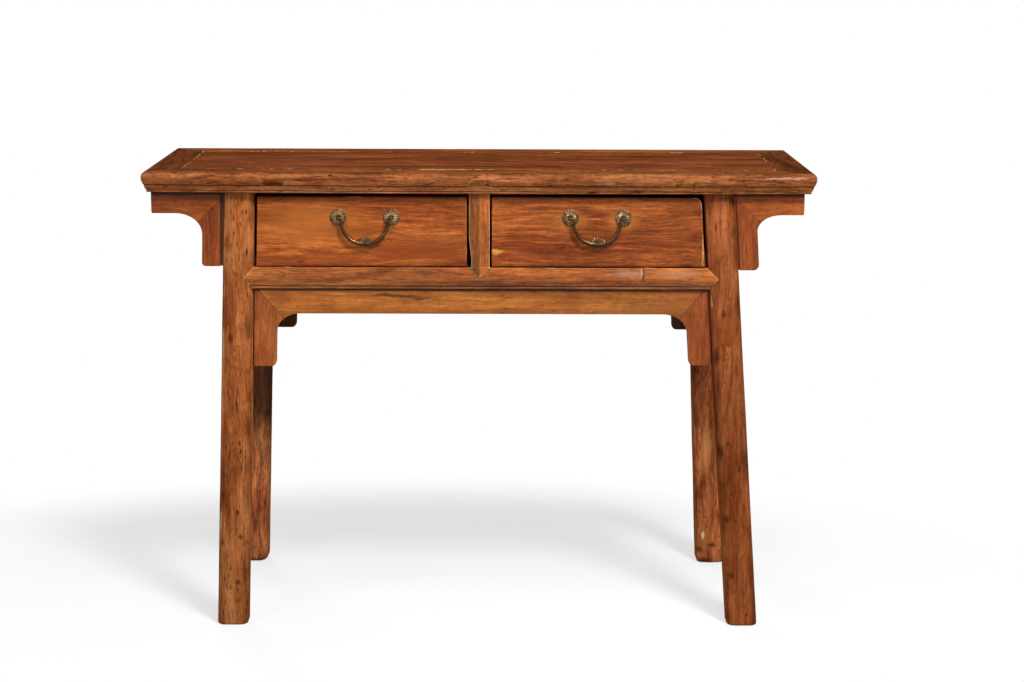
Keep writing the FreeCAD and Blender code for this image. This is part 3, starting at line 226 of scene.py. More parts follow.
def old_wood(name, grain, tones, flame=1.0, streak=1.0, gold=0.0, speck=1.0, mottle=1.0, scratch=0.0,
             rough=0.46, gloss=0.2, marks=(), shades=(), lines=(), seed=0.0):
    """Waxed old wood: a flame figure, streaks, pores and specks along the grain, paler where it is worn.

    tones are its dark, middle and light colours; marks are knots and patches (place, radii, colour, amount);
    shades are an axis, two distances along it and the tone's strength at each; lines are an axis, a distance
    along it, half the line's width and the tone's strength in it. A wear value between 0 and 1 lifts the
    colour to a paler, bluish tint, partly polish and partly a painted sheen; below 0 it darkens the colour
    with dirt and painted shade.
    """
    finish = bpy.data.materials.new(name)
    tree = cleared(finish)
    place = add(tree, "ShaderNodeTexCoord", {}).outputs["Object"]

    def vectors(operation, *terms):
        return add(tree, "ShaderNodeVectorMath", dict(enumerate(terms)), operation=operation).outputs[0]

    def stretched(vector, along, across):
        return vectors("MULTIPLY", vector, [along if axis == grain else across for axis in "xyz"])

    def clouds(vector, along, across, detail=2.0, roughness=0.55, distortion=0.0):
        sockets = {"Vector": stretched(vector, along, across), "W": seed, "Scale": 1.0, "Detail": detail,
                   "Roughness": roughness, "Distortion": distortion}
        return add(tree, "ShaderNodeTexNoise", sockets, noise_dimensions="4D").outputs

    drift = clouds(place, 4.0, 10.0)["Color"]
    bent = vectors("ADD", place, vectors("MULTIPLY", drift, [0.035 * flame] * 3))
    figure = clouds(bent, 3.4, 26.0, 4.0, 0.62, 0.7)[0]
    streaks = clouds(bent, 8.0, 150.0, 3.0, 0.6)[0]
    ticks = clouds(bent, 26.0, 400.0, 2.0, 0.6)[0]
    fibres = clouds(bent, 70.0, 1100.0)[0]
    blotches = clouds(place, 5.0, 12.0, 3.0)[0]
    stains = clouds(place, 11.0, 30.0, 4.0, 0.65, 0.5)[0]
    grime = clouds(place, 110.0, 210.0, 3.0, 0.65)[0]

    colour = mixed(tree, ranged(tree, streaks, 0.52, 0.64, 0, gold, True),
                   toned(tree, figure, tones, (0.36, 0.5, 0.64)), rgb(*(1.15 * part for part in tones[2])))
    strength = 1.0
    for layer, depth in ((streaks, 0.3 * streak), (ticks, 0.26 * streak), (fibres, 0.12),
                         (blotches, 0.2 * mottle), (grime, 0.22 * mottle)):
        strength = sums(tree, "MULTIPLY", strength, ranged(tree, layer, 0.32, 0.68, 1 - depth, 1 + depth))
    axes = dict(zip("xyz", add(tree, "ShaderNodeSeparateXYZ", {0: place}).outputs))
    for axis, start, end, low, high in shades:
        strength = sums(tree, "MULTIPLY", strength, ranged(tree, axes[axis], start, end, low, high))
    for axis, at, half, low in lines:
        off = sums(tree, "ABSOLUTE", sums(tree, "SUBTRACT", axes[axis], at), 0.0)
        strength = sums(tree, "MULTIPLY", strength, ranged(tree, off, 0.4 * half, half, low, 1.0))
    colour = add(tree, "ShaderNodeVectorMath", {0: colour, "Scale": strength}, operation="SCALE").outputs[0]
    colour = mixed(tree, ranged(tree, stains, 0.5, 0.68, 0, 0.75 * mottle, True), colour,
                   mixed(tree, 1.0, colour, STAIN, "MULTIPLY"))

    cells = add(tree, "ShaderNodeTexVoronoi", {"Vector": stretched(bent, 24.0, 62.0), "Scale": 1.0}).outputs
    seeds = add(tree, "ShaderNodeSeparateColor", {0: cells["Color"]}).outputs[0]
    ragged = sums(tree, "ADD", cells["Distance"], sums(tree, "MULTIPLY", grime, 0.22))
    spots = sums(tree, "MULTIPLY", ranged(tree, ragged, 0.16, 0.3, 1, 0, True),
                 ranged(tree, seeds, 0.75, 0.95, 0, 0.8 * speck))
    pores = ranged(tree, clouds(bent, 45.0, 420.0, 1.0)[0], 0.61, 0.72, 0, 0.6 * speck, True)
    dark = sums(tree, "MAXIMUM", spots, pores)
    colour = mixed(tree, dark, colour, DIRT_AND_SHADE)
    if scratch:
        scratches = clouds(bent, 14.0, 500.0, 1.0, 0.4)[0]
        colour = mixed(tree, ranged(tree, scratches, 0.68, 0.74, 0, scratch, True), colour, SCRATCHED_WOOD)

    shaken = vectors("MULTIPLY_ADD", clouds(place, 50.0, 80.0, 3.0)["Color"], [0.012] * 3, place)
    for spot, radii, tone, amount in marks:
        offset = vectors("SUBTRACT", shaken, [at + 0.006 for at in spot])
        reach = vectors("MULTIPLY", offset, [1 / radius for radius in radii])
        far = add(tree, "ShaderNodeVectorMath", {0: reach}, operation="LENGTH").outputs["Value"]
        colour = mixed(tree, ranged(tree, far, 0.3, 1.15, amount, 0, True), colour, rgb(*tone))

    # Wear lifts the colour to a bluish tint that is partly polish and partly painted sheen, breaks it to bare
    # wood above 1, and below 0 darkens it with dirt and painted shade.
    wear_and_painted_light = add(tree, "ShaderNodeAttribute", {}, attribute_name="wear_and_painted_light").outputs["Fac"]
    polish_and_sheen_colour = mixed(tree, 1.0, colour, POLISH_AND_SHEEN, "MULTIPLY")
    colour = mixed(tree, ranged(tree, wear_and_painted_light, 0, 1, 0, 0.45), colour, polish_and_sheen_colour)
    broken = sums(tree, "ADD", wear_and_painted_light, sums(tree, "MULTIPLY", sums(tree, "SUBTRACT", grime, 0.5), 0.9))
    colour = mixed(tree, ranged(tree, broken, 1.0, 1.35, 0, 0.85, True), colour, BARE_WOOD)
    colour = mixed(tree, ranged(tree, wear_and_painted_light, 0, -1, 0, 0.93), colour, DIRT_AND_SHADE)

    height = 0.0
    for layer, depth in ((streaks, 0.5), (ticks, 0.4), (fibres, 0.25), (grime, 0.4), (dark, -0.7)):
        height = sums(tree, "ADD", height, sums(tree, "MULTIPLY", layer, depth))
    bump = add(tree, "ShaderNodeBump", {"Strength": 0.3, "Distance": 0.0008, "Height": height}).outputs[0]
    dull = sums(tree, "ADD", ranged(tree, blotches, 0.3, 0.7, rough + 0.09, rough - 0.07),
                sums(tree, "MULTIPLY", dark, 0.2))
    shader = add(tree, "ShaderNodeBsdfPrincipled", {"Base Color": colour, "Roughness": dull, "Normal": bump,
                                                    "Specular IOR Level": gloss})
    add(tree, "ShaderNodeOutputMaterial", {"Surface": shader.outputs[0]})
    return finish


def leg_ring(half, corner):
    """A rounded square in plan: each point, how near it is to an arris's middle, and its place there."""
    ring, core = [], half - corner
    for quarter in range(4):
        spin = Matrix.Rotation(quarter * math.pi / 2, 2)
        for step in range(8):
            ring.append((spin @ Vector((half, core * (step / 4 - 1))), 0.0, None))
        for step, angle in enumerate(quarter_turn(8)[:-1]):
            spot = Vector((core + corner * math.cos(angle), core + corner * math.sin(angle)))
            ring.append((spin @ spot, math.sin(2 * angle), (quarter, step)))
    return ring


def edge_wear_glint_and_shade(leg, edge, level):
    """A painted highlight along each front leg's left arris, painted shade just outside it on the front left
    leg, and where the apron chafes the left leg.
    """
    corner, step = edge or (0, 0)
    # Painted highlight: a pale line along the left arris of both front legs.
    if leg.startswith("front") and corner == LEFT_FRONT_ARRIS and step in (3, 4):
        return 1.08 if leg == "front_left" else 0.85 * share_of(level, 0.4, 0.1)
    # Painted shade: a dark line on the outer side of that highlight on the front left leg.
    if leg == "front_left" and corner == LEFT_FRONT_ARRIS and step < 2:
        return -0.7
    if leg == "front_left" and corner == RIGHT_FRONT_ARRIS and step in (2, 3, 4) and 0.47 < level < 0.53:
        return 1.3
    return 0


def leg_skin(leg):
    """The leg from its rounded foot to its head, with hand-worked faces, rubbed arrises, and on the front
    legs a painted highlight and painted shade along the left arris.
    """
    foot, wide = FOOT_ROUND[leg], REAR_WIDTH if leg.startswith("rear") else 1
    stations = [(foot * (1 - math.cos(turn)), foot * (1 - math.sin(turn))) for turn in quarter_turn(5)]
    stations += [(foot + (UNDER_TOP + mm - foot) * step / 90, 0) for step in range(1, 91)]
    rings = []
    for level, inset in stations:
        middle = leg_middle(leg, level)
        ring = []
        for spot, arris, edge in leg_ring(LEG_HALF - inset, LEG_CORNER - inset * 0.6):
            place = middle + Vector((spot.x * wide, spot.y, 0))
            hollow = 0.35 * mm * noise.noise(place * 14) - 0.2 * mm
            chip = max(0, noise.noise(place * 38) - 0.25) * arris * 2.4 * mm
            rot = 0
            if leg == "rear_right" and level < 0.05:
                rot = max(0, noise.noise(place * 70) + 0.2) * (0.05 - level) * 0.06
            worn = arris * (0.8 * noise.noise(place * 25) - 0.2) + chip * 350 + edge_wear_glint_and_shade(leg, edge, level)
            ring.append((place + Vector((*spot.normalized(), 0)) * (hollow - chip - rot), worn))
        rings.append(ring)
    return loft(rings)


def shoulder_reach(level):
    """How far the rail's pointed end laps over the leg at a level."""
    return SHOULDER_REACH * (1 - abs(level - RAIL_MIDDLE) / (RAIL_TOP - RAIL_MIDDLE))


def rail_notch(leg):
    """The room for the rail's pointed end in the face of a front leg."""
    side = LEGS[leg][0]
    spots = [(beside_leg(leg, level, 0) + side * (shoulder_reach(level) + JOINT_LINE), level)
             for level in (RAIL_BOTTOM, RAIL_MIDDLE, RAIL_TOP)]
    root = side * SHOULDER_ROOT
    outline = [(root, RAIL_BOTTOM - JOINT_LINE), *spots, (root, RAIL_TOP + JOINT_LINE)]
    return to_piece("notch", prism(outline, -PAST_FRONT, -RAIL_FACE + LIP_DEPTH))


def tenon_mortise(leg):
    """The hole through a leg for the tenon of an end stretcher."""
    middle, end = leg_middle("front_" + leg.split("_")[1], STRETCHER_LEVEL).x, LEGS[leg][1]
    high, low = (STRETCHER_LEVEL + way * (STRETCHER_HEIGHT / 2 + TENON_GAP) for way in (1, -1))
    outline = oblong(middle, TENON_WIDTH / 2 + TENON_GAP, low, high)
    return to_piece("mortise", prism(outline, end * MORTISE_START, end * MORTISE_END))


KNOT, RUST = (0.045, 0.014, 0.006), (0.17, 0.034, 0.01)
REAR_FIGURE = {"flame": 0.9, "streak": 1.3, "speck": 1.5, "gloss": 0.0}
leg_wood = {
    "front_left": old_wood(
        "waxed_front_left_leg_wood", "z",
        ((0.268, 0.0745, 0.0205), (0.4, 0.132, 0.039), (0.495, 0.186, 0.062)),
        flame=0.6, speck=1.6, mottle=0.9, gloss=0.0,
        shades=[("z", 0.1, 0.4, 0.78, 1.06), ("z", 0.45, 0.75, 1.0, 1.03)], marks=[
            ((-0.447, -0.214, 0.527), (0.007, 0.03, 0.013), KNOT, 0.8),
            ((-0.452, -0.21, 0.59), (0.022, 0.03, 0.085), RUST, 0.6),
            ((-0.452, -0.215, 0.47), (0.012, 0.03, 0.06), RUST, 0.45),
            ((-0.436, -0.217, 0.42), (0.0014, 0.03, 0.04), KNOT, 0.85),
            ((-0.433, -0.224, 0.338), (0.003, 0.03, 0.007), KNOT, 0.8),
            ((-0.432, -0.224, 0.322), (0.004, 0.03, 0.006), KNOT, 0.8),
            ((-0.4385, -0.228, 0.21), (0.005, 0.03, 0.006), KNOT, 0.75),
            ((-0.433, -0.23, 0.165), (0.005, 0.03, 0.006), KNOT, 0.7),
            ((-0.4395, -0.234, 0.08), (0.006, 0.03, 0.008), KNOT, 0.75)]),
    "front_right": old_wood(
        "waxed_front_right_leg_wood", "z",
        ((0.186, 0.0445, 0.0122), (0.267, 0.072, 0.0207), (0.33, 0.1, 0.032)),
        flame=0.6, mottle=0.8, gloss=0.0, seed=1.0,
        shades=[("z", 0.1, 0.35, 0.95, 0.88), ("z", 0.45, 0.75, 0.98, 1.28)], marks=[
            ((0.429, -0.212, 0.497), (0.009, 0.03, 0.02), KNOT, 0.8),
            ((0.44, -0.212, 0.575), (0.006, 0.03, 0.008), KNOT, 0.75),
            ((0.445, -0.213, 0.535), (0.02, 0.03, 0.05), RUST, 0.5),
            ((0.437, -0.222, 0.325), (0.007, 0.03, 0.016), KNOT, 0.7),
            ((0.452, -0.222, 0.34), (0.004, 0.03, 0.006), KNOT, 0.6),
            ((0.451, -0.23, 0.2), (0.006, 0.03, 0.008), KNOT, 0.7),
            ((0.4617, -0.232, 0.095), (0.006, 0.03, 0.008), KNOT, 0.7)]),
    "rear_left": old_wood(
        "waxed_rear_left_leg_wood", "z",
        ((0.2, 0.054, 0.022), (0.49, 0.15, 0.055), (0.7, 0.262, 0.1)),
        **REAR_FIGURE, seed=3.0, shades=[("z", 0.03, 0.17, 0.76, 1.33), ("z", 0.22, 0.31, 1.0, 0.2)], marks=[
            ((-0.385, 0.16, 0.42), (0.08, 0.15, 0.16), (0.12, 0.047, 0.03), 0.75),
            ((-0.39, 0.16, 0.15), (0.004, 0.05, 0.03), KNOT, 0.85),
            ((-0.385, 0.16, 0.05), (0.003, 0.05, 0.03), KNOT, 0.85),
            ((-0.393, 0.16, 0.235), (0.012, 0.05, 0.02), (0.75, 0.4, 0.15), 0.75)]),
    "rear_right": old_wood(
        "waxed_rear_right_leg_wood", "z",
        ((0.189, 0.0535, 0.0185), (0.404, 0.1155, 0.038), (0.588, 0.198, 0.0705)),
        **REAR_FIGURE, seed=4.0, shades=[("z", 0.3, 0.7, 1.0, 0.45)], marks=[
            ((0.45, 0.16, 0.24), (0.013, 0.05, 0.06), (0.6, 0.26, 0.07), 0.55),
            ((0.445, 0.16, 0.045), (0.03, 0.09, 0.03), (0.36, 0.12, 0.03), 0.7),
            ((0.437, 0.16, 0.028), (0.013, 0.05, 0.009), KNOT, 0.9),
            ((0.465, 0.16, 0.038), (0.012, 0.05, 0.007), KNOT, 0.9),
            ((0.452, 0.16, 0.006), (0.03, 0.05, 0.009), KNOT, 0.85),
            ((0.448, 0.16, 0.06), (0.0045, 0.05, 0.011), (0.8, 0.62, 0.42), 0.9)])}
for leg, (_, end) in LEGS.items():
    rooms = [tenon_mortise(leg)] + ([rail_notch(leg)] if end < 0 else [])
    settle(f"{leg}_leg", leg_skin(leg), leg_wood[leg], cutters=rooms)

# End rails, stretchers and side panels
# Plain bars tenoned between the front and rear legs at the case's ends, with a thin board above the rail.
# The stretchers' tenons come out through the leg faces, where their end grain shows.
SIDE_RAIL_WIDTH, STRETCHER_WIDTH = 26 * mm, 26 * mm
NEAR_ARRIS = 0, 0.08, 0.3, 0.65, 1, 2.5


def flat(along, level):
    return 0


def board(across, levels, face, back, turn, arris=1.2 * mm, relief=flat, pitch=9 * mm, extra=(), bare=0.8,
          patch=30 * mm, pale=flat):
    """A board as a closed grid with rounded, rubbed arrises.

    across(level) gives its two edges at a level, turn(along, level, depth) a place in the room, and relief
    how far the face rises or falls. The arrises are rubbed in patches, and paler where pale says, which is
    worn bare on some boards and partly a painted highlight on the panel, the muntin and the right front.
    """
    low, high = levels
    near_edge = [arris * share for share in NEAR_ARRIS]

    def spaced(start, end, count, squeeze=1.0):
        inset = 3.5 * arris * squeeze
        inner = [start + inset + (end - start - 2 * inset) * step / count for step in range(count + 1)]
        return ([start + step * squeeze for step in near_edge] + inner
                + [end - step * squeeze for step in near_edge[::-1]])

    rows = sorted(set(spaced(low, high, max(2, round((high - low) / pitch)))) | set(extra))
    longest = max(across(level)[1] - across(level)[0] for level in rows)
    columns = max(2, round(longest / pitch))

    def eased(distance):
        return 0 if distance >= arris else arris - math.sqrt(max(0, arris ** 2 - (arris - distance) ** 2))

    skin = bmesh.new()
    wear_and_painted_light = skin.verts.layers.float.new("wear_and_painted_light")
    sheets = []
    for front in (True, False):
        sheet = []
        for level in rows:
            start, end = across(level)
            squeeze = min(1, (end - start) / (14 * arris))
            line = []
            for along in spaced(start, end, columns, squeeze):
                beside, above = min(along - start, end - along), min(level - low, high - level)
                rim = max(0, 1 - min(beside, above) / (3 * arris))
                seed = Vector(turn(along, level, face))
                rub = 0.45 + bare * noise.noise(seed / patch) + 0.4 * noise.noise(seed * 110)
                rub += pale(along, level)
                fall = eased(beside) + eased(above) + rim * max(0, noise.noise(seed * 52)) * arris * 0.6
                fall += 0.14 * mm * (1 + noise.noise(seed * 13))
                depth = face - fall + relief(along, level) if front else back + min(fall, (face - back) / 3)
                vert = skin.verts.new(turn(along, level, depth))
                vert[wear_and_painted_light] = max(0, rim * rub * 1.5) if front else 0
                line.append(vert)
            sheet.append(line)
        sheets.append(sheet)
        bridge(skin, sheet, closed=False)
    loops = [sheet[0] + [line[-1] for line in sheet[1:-1]] + sheet[-1][::-1]
             + [line[0] for line in sheet[-2:0:-1]] for sheet in sheets]
    rubbed = min(0.4, 1.5 * arris / (face - back))
    loops.insert(1, [skin.verts.new(near.co.lerp(far.co, rubbed)) for near, far in zip(*loops)])
    bridge(skin, loops)
    return closed_up(skin)


def closed_up(skin):
    bmesh.ops.remove_doubles(skin, verts=skin.verts, dist=1e-6)
    bmesh.ops.recalc_face_normals(skin, faces=skin.faces)
    return skin


def joined(skins):
    """Several skins as one."""
    whole = skins[0]
    for skin in skins[1:]:
        part = bpy.data.meshes.new("part")
        skin.to_mesh(part)
        skin.free()
        whole.from_mesh(part)
        bpy.data.meshes.remove(part)
    return whole


def leg_back(leg, level):
    """The y of a leg's face that looks into the case."""
    return leg_middle(leg, level).y - LEGS[leg][1] * LEG_HALF


def sideward(side):
    """Turns a board's length, height and depth into a place on the left or the right end."""
    return lambda along, level, depth: (side * depth, along, level)


def front_to_rear(side_name):
    """The span of a board let into the front and rear legs of one end."""
    front, rear = f"front_{side_name}", f"rear_{side_name}"
    return lambda level: (leg_back(front, level) - mm, leg_back(rear, level) + mm)


def end_bar(side_name, side, level, height, width, through=False):
    """A bar between the legs at one end; through tells whether its tenons come out through the legs."""
    middle, levels = abs(leg_middle("front_" + side_name, level).x), (level - height / 2, level + height / 2)
    skins = [board(front_to_rear(side_name), levels, middle + width / 2, middle - width / 2, sideward(side))]
    for leg in (f"front_{side_name}", f"rear_{side_name}") if through else ():

        def tenon(height_at):
            inside, end = leg_back(leg, height_at), LEGS[leg][1]
            return sorted((inside - end * 2 * mm, inside + end * (2 * LEG_HALF - 0.1 * mm)))

        skins.append(board(tenon, levels, middle + TENON_WIDTH / 2, middle - TENON_WIDTH / 2, sideward(side),
                           arris=0.4 * mm, pitch=6 * mm, bare=0.1, pale=lambda along, height_at: -0.45))
    return joined(skins)


end_wood = old_wood(
    "end_rail_wood_finish", "y", ((0.2, 0.052, 0.01), (0.3, 0.08, 0.015), (0.42, 0.14, 0.03)), seed=5.0)
side_panel_wood = old_wood(
    "side_panel_wood_finish", "y", ((0.18, 0.045, 0.009), (0.27, 0.07, 0.013), (0.36, 0.11, 0.022)),
    flame=1.4, seed=6.0)
for name, side in (("left", -1), ("right", 1)):
    skin = end_bar(name, side, RAIL_MIDDLE, RAIL_TOP - RAIL_BOTTOM, SIDE_RAIL_WIDTH)
    settle(f"side_rail_{name}", skin, end_wood)
    skin = end_bar(name, side, STRETCHER_LEVEL, STRETCHER_HEIGHT, STRETCHER_WIDTH, through=True)
    settle(f"side_stretcher_{name}", skin, end_wood)
    inside, outside = sorted(abs(corner.x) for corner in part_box(f"side_panel_{name}"))
    skin = board(front_to_rear(name), (RAIL_TOP - mm, UNDER_TOP + 2 * mm), outside, inside, sideward(side),
                 arris=0.8 * mm)
    settle(f"side_panel_{name}", skin, side_panel_wood)

# Drawer rail, rear rail and back panel
# The front rail is shaped to a soft ridge with a quirk and bead along its foot, and its ends are pointed
# where they are let into the legs. The rear rail and the thin back board are plain work.
RIDGE_RISE, RAIL_BEAD, BEAD_RISE, RAIL_DEPTH = 3 * mm, 5 * mm, 1.6 * mm, 34 * mm
BEAD_TOP = RAIL_BOTTOM + RAIL_BEAD
LEFT_POINT, RIGHT_POINT = -404 * mm, 408 * mm
MUNTIN_HALF = 18.5 * mm


def outward(end):
    """Turns a board's length, height and depth into a place on the front or the rear."""
    return lambda along, level, depth: (along, end * depth, level)


def side_to_side(end_name):
    """The span of a board let into the left and right legs of the front or the rear."""
    left, right = f"{end_name}_left", f"{end_name}_right"
    return lambda level: (beside_leg(left, level, -mm), beside_leg(right, level, -mm))


def rail_span(level):
    return (beside_leg("front_left", level, 0) - shoulder_reach(level),
            beside_leg("front_right", level, 0) + shoulder_reach(level))


def rail_relief(along, level):
    """The ridge, and the bead below it."""
    share = (level - RAIL_MIDDLE) / (RAIL_TOP - RAIL_MIDDLE)
    facet = -RIDGE_RISE * (math.sqrt(share ** 2 + 0.03) - 0.17)
    if level < BEAD_TOP:
        across = (level - RAIL_BOTTOM) / RAIL_BEAD * 2 - 1
        return -RIDGE_RISE - BEAD_RISE + BEAD_RISE * 1.4 * math.sqrt(max(0, 1 - across ** 2))
    if level < BEAD_TOP + BEAD_RISE:
        return facet - BEAD_RISE * (1 - (level - BEAD_TOP) / BEAD_RISE)
    return facet


# The rail's colour carries painted light: its lower facet is darker and its upper facet lighter as light
# falls on the ridge, and its two lines darken the groove above the bead and the gap under it, partly dirt and
# partly painted shade.
rail_wood = old_wood(
    "waxed_rail_wood", "x", ((0.212, 0.055, 0.0112), (0.328, 0.094, 0.0198), (0.445, 0.152, 0.037)),
    flame=0.8, streak=1.2, rough=0.36, seed=8.0,
    shades=[("z", RAIL_MIDDLE - 6 * mm, RAIL_MIDDLE + mm, 0.76, 1.12)],
    lines=[("z", BEAD_TOP + 0.7 * mm, 1.5 * mm, 0.35), ("z", RAIL_BOTTOM, 1.1 * mm, 0.08)], marks=[
        ((0.295, -0.207, 0.646), (0.003, 0.02, 0.016), KNOT, 0.8),
        ((0.2915, -0.207, 0.65), (0.002, 0.02, 0.01), (0.62, 0.4, 0.26), 0.7),
        # Painted sheen: the next two pale patches stand for the rail's shine near its right end.
        ((0.268, -0.207, 0.647), (0.035, 0.02, 0.009), (0.52, 0.28, 0.17), 0.45),
        ((0.36, -0.207, 0.647), (0.045, 0.02, 0.008), (0.5, 0.26, 0.14), 0.4),
        ((-0.1, -0.207, 0.645), (0.03, 0.02, 0.008), (0.14, 0.035, 0.01), 0.5)])
bead_rows = [RAIL_BOTTOM + RAIL_BEAD * step / 6 for step in range(1, 7)]
bead_rows += [BEAD_TOP + BEAD_RISE * step / 3 for step in range(1, 4)]
lip = board(rail_span, (RAIL_BOTTOM, RAIL_TOP), RAIL_FACE, RAIL_FACE - LIP_DEPTH, outward(-1),
            arris=0.7 * mm, relief=rail_relief, pitch=4 * mm, extra=bead_rows, bare=1.1,
            pale=lambda along, level: 0 if LEFT_POINT < along < RIGHT_POINT else 0.75)
bar = board(side_to_side("front"), (RAIL_BOTTOM + 0.1 * mm, RAIL_TOP - 0.1 * mm),
            RAIL_FACE - LIP_DEPTH + 0.5 * mm, RAIL_FACE - RAIL_DEPTH, outward(-1))
reach, above = MUNTIN_HALF + JOINT_LINE, 3 * mm
notch = prism([(-reach - above, RAIL_TOP + above), (0, RAIL_TOP - reach), (reach + above, RAIL_TOP + above)],
              -PAST_FRONT, -RAIL_FACE + LIP_DEPTH - mm)
settle("drawer_rail", joined([lip, bar]), rail_wood,
       cutters=[to_piece("notch", notch)], sharp=30)

plain_rail = board(side_to_side("rear"), (RAIL_BOTTOM, RAIL_TOP), RAIL_FACE - RIDGE_RISE,
                   RAIL_FACE - RAIL_DEPTH, outward(1))
back_rail_wood = old_wood(
    "rear_rail_wood_finish", "x", ((0.18, 0.05, 0.01), (0.27, 0.08, 0.018), (0.36, 0.13, 0.035)),
    rough=0.6, gloss=0.1, seed=9.0)
settle("rear_rail", plain_rail, back_rail_wood)
low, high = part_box("back_panel")
back_board = board(side_to_side("rear"), (RAIL_TOP - mm, UNDER_TOP + 2 * mm), high.y, low.y, outward(1),
                   arris=0.8 * mm)
back_wood = old_wood(
    "back_panel_wood_finish", "x", ((0.16, 0.06, 0.018), (0.26, 0.1, 0.032), (0.36, 0.16, 0.06)),
    flame=1.5, rough=0.7, gloss=0.05, seed=10.0)
settle("back_panel", back_board, back_wood)

# Muntin
# A short ridged post between the drawers, its foot cut to a point that is let into the face of the rail.
# Its head is tenoned into the front of the top, and its left edge is worn away near the foot.
MUNTIN_DEPTH, POINT_RISE = 30 * mm, 0.9 * mm
MUNTIN_WORN, WORN_FROM, WORN_OVER = 4 * mm, 710 * mm, 35 * mm


def muntin_span(level):
    half = MUNTIN_HALF - max(0, RAIL_TOP - level)
    worn = MUNTIN_WORN * share_of(-level, -WORN_FROM, WORN_OVER) if level > RAIL_TOP + 0.3 * mm else 0
    return worn - half, half


def muntin_relief(along, level):
    """The ridge, standing a little proud where the point lies in the rail."""
    return POINT_RISE * share_of(-level, -RAIL_TOP - mm, mm) - RIDGE_RISE * abs(along) / MUNTIN_HALF


# Painted light on the muntin: its left facet is darker and its right facet lighter as light falls on the
# ridge, and its pale edges are partly worn bare and partly a painted highlight.
muntin_wood = old_wood(
    "waxed_muntin_wood", "z", ((0.2, 0.05, 0.009), (0.3, 0.085, 0.017), (0.4, 0.14, 0.032)),
    flame=0.6, streak=1.4, seed=11.0, shades=[("x", -0.0015, 0.0015, 0.6, 1.42)])
post = board(muntin_span, (RAIL_TOP - MUNTIN_HALF, UNDER_TOP + mm), RAIL_FACE, RAIL_FACE - MUNTIN_DEPTH,
             outward(-1), arris=0.9 * mm, relief=muntin_relief, pitch=3 * mm,
             extra=[RAIL_TOP, RAIL_TOP + 0.6 * mm], bare=0.7,
             pale=lambda along, level: 1.3 if level < RAIL_TOP + mm else 0.75)
settle("muntin", post, muntin_wood, sharp=12)

# Runners and guides
# Rough strips of bare wood inside the case that carry the drawers and keep them straight.
# They are tenoned from the front to the rear rail.
runner_wood = old_wood("bare_runner_wood", "y", ((0.16, 0.08, 0.035), (0.28, 0.15, 0.07), (0.4, 0.24, 0.12)),
                       rough=0.75, gloss=0.05, seed=12.0)
for part in ("runner", "guide"):
    for name in ("left", "centre", "right"):
        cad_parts[f"drawer_{part}_{name}"].data.materials[0] = runner_wood

# Aprons and their spandrels
# Boards under the front and rear rails, sawn to a curve and mitred to spandrels that run down beside the
# legs. Their edges are eased by hand, and each spandrel has a tongue in the leg.
APRON_FACE, APRON_BACK, APRON_LOW = 198 * mm, 182 * mm, 572 * mm
SPANDREL_LOW = {"front_left": 475 * mm, "front_right": 478.5 * mm,
                "rear_left": 480 * mm, "rear_right": 477.5 * mm}
SPANDREL_WIDTH = {"front_left": 43 * mm, "front_right": 43 * mm,
                  "rear_left": 48.5 * mm, "rear_right": 37.5 * mm}
SPANDREL_CURVE, SPANDREL_CORNER, SPANDREL_GAP = (41 * mm, 34 * mm), (9 * mm, 9 * mm), 2 * mm
MITRE_HEAD, MITRE_FOOT, TONGUE_DEPTH = 7 * mm, 5 * mm, 5 * mm
# Under the rail and the top the joint darkening is partly dirt and partly painted shade; in the mitres it is
# dirt.
JOINT_DIRT_AND_SHADE, MITRE_DIRT, ON_JOINT = 0.8, 0.35, 0.01 * mm


def rounded(corners, steps=12):
    """An outline with rounded corners (along, level, reach along the level and the upright side)."""
    outline = []
    for i, (along, level, reach) in enumerate(corners):
        here = Vector((along, level))
        if not reach:
            outline.append(here)
            continue
        sides = []
        for other in (corners[i - 1], corners[(i + 1) % len(corners)]):
            way = (Vector(other[:2]) - here).normalized()
            sides.append(way * reach[abs(way.x) < abs(way.y)])
        outline += [here + sides[0] * (1 - math.sin(turn)) + sides[1] * (1 - math.cos(turn))
                    for turn in quarter_turn(steps)]
    return outline


def clipped(outline, spot, way):
    """The part of an outline that lies on the side of a line through spot that way points to."""
    kept = []
    for i, here in enumerate(outline):
        last = outline[i - 1]
        side, last_side = (here - spot).dot(way), (last - spot).dot(way)
        if side * last_side < 0:
            kept.append(last.lerp(here, last_side / (last_side - side)))
        if side >= 0:
            kept.append(here)
    return kept


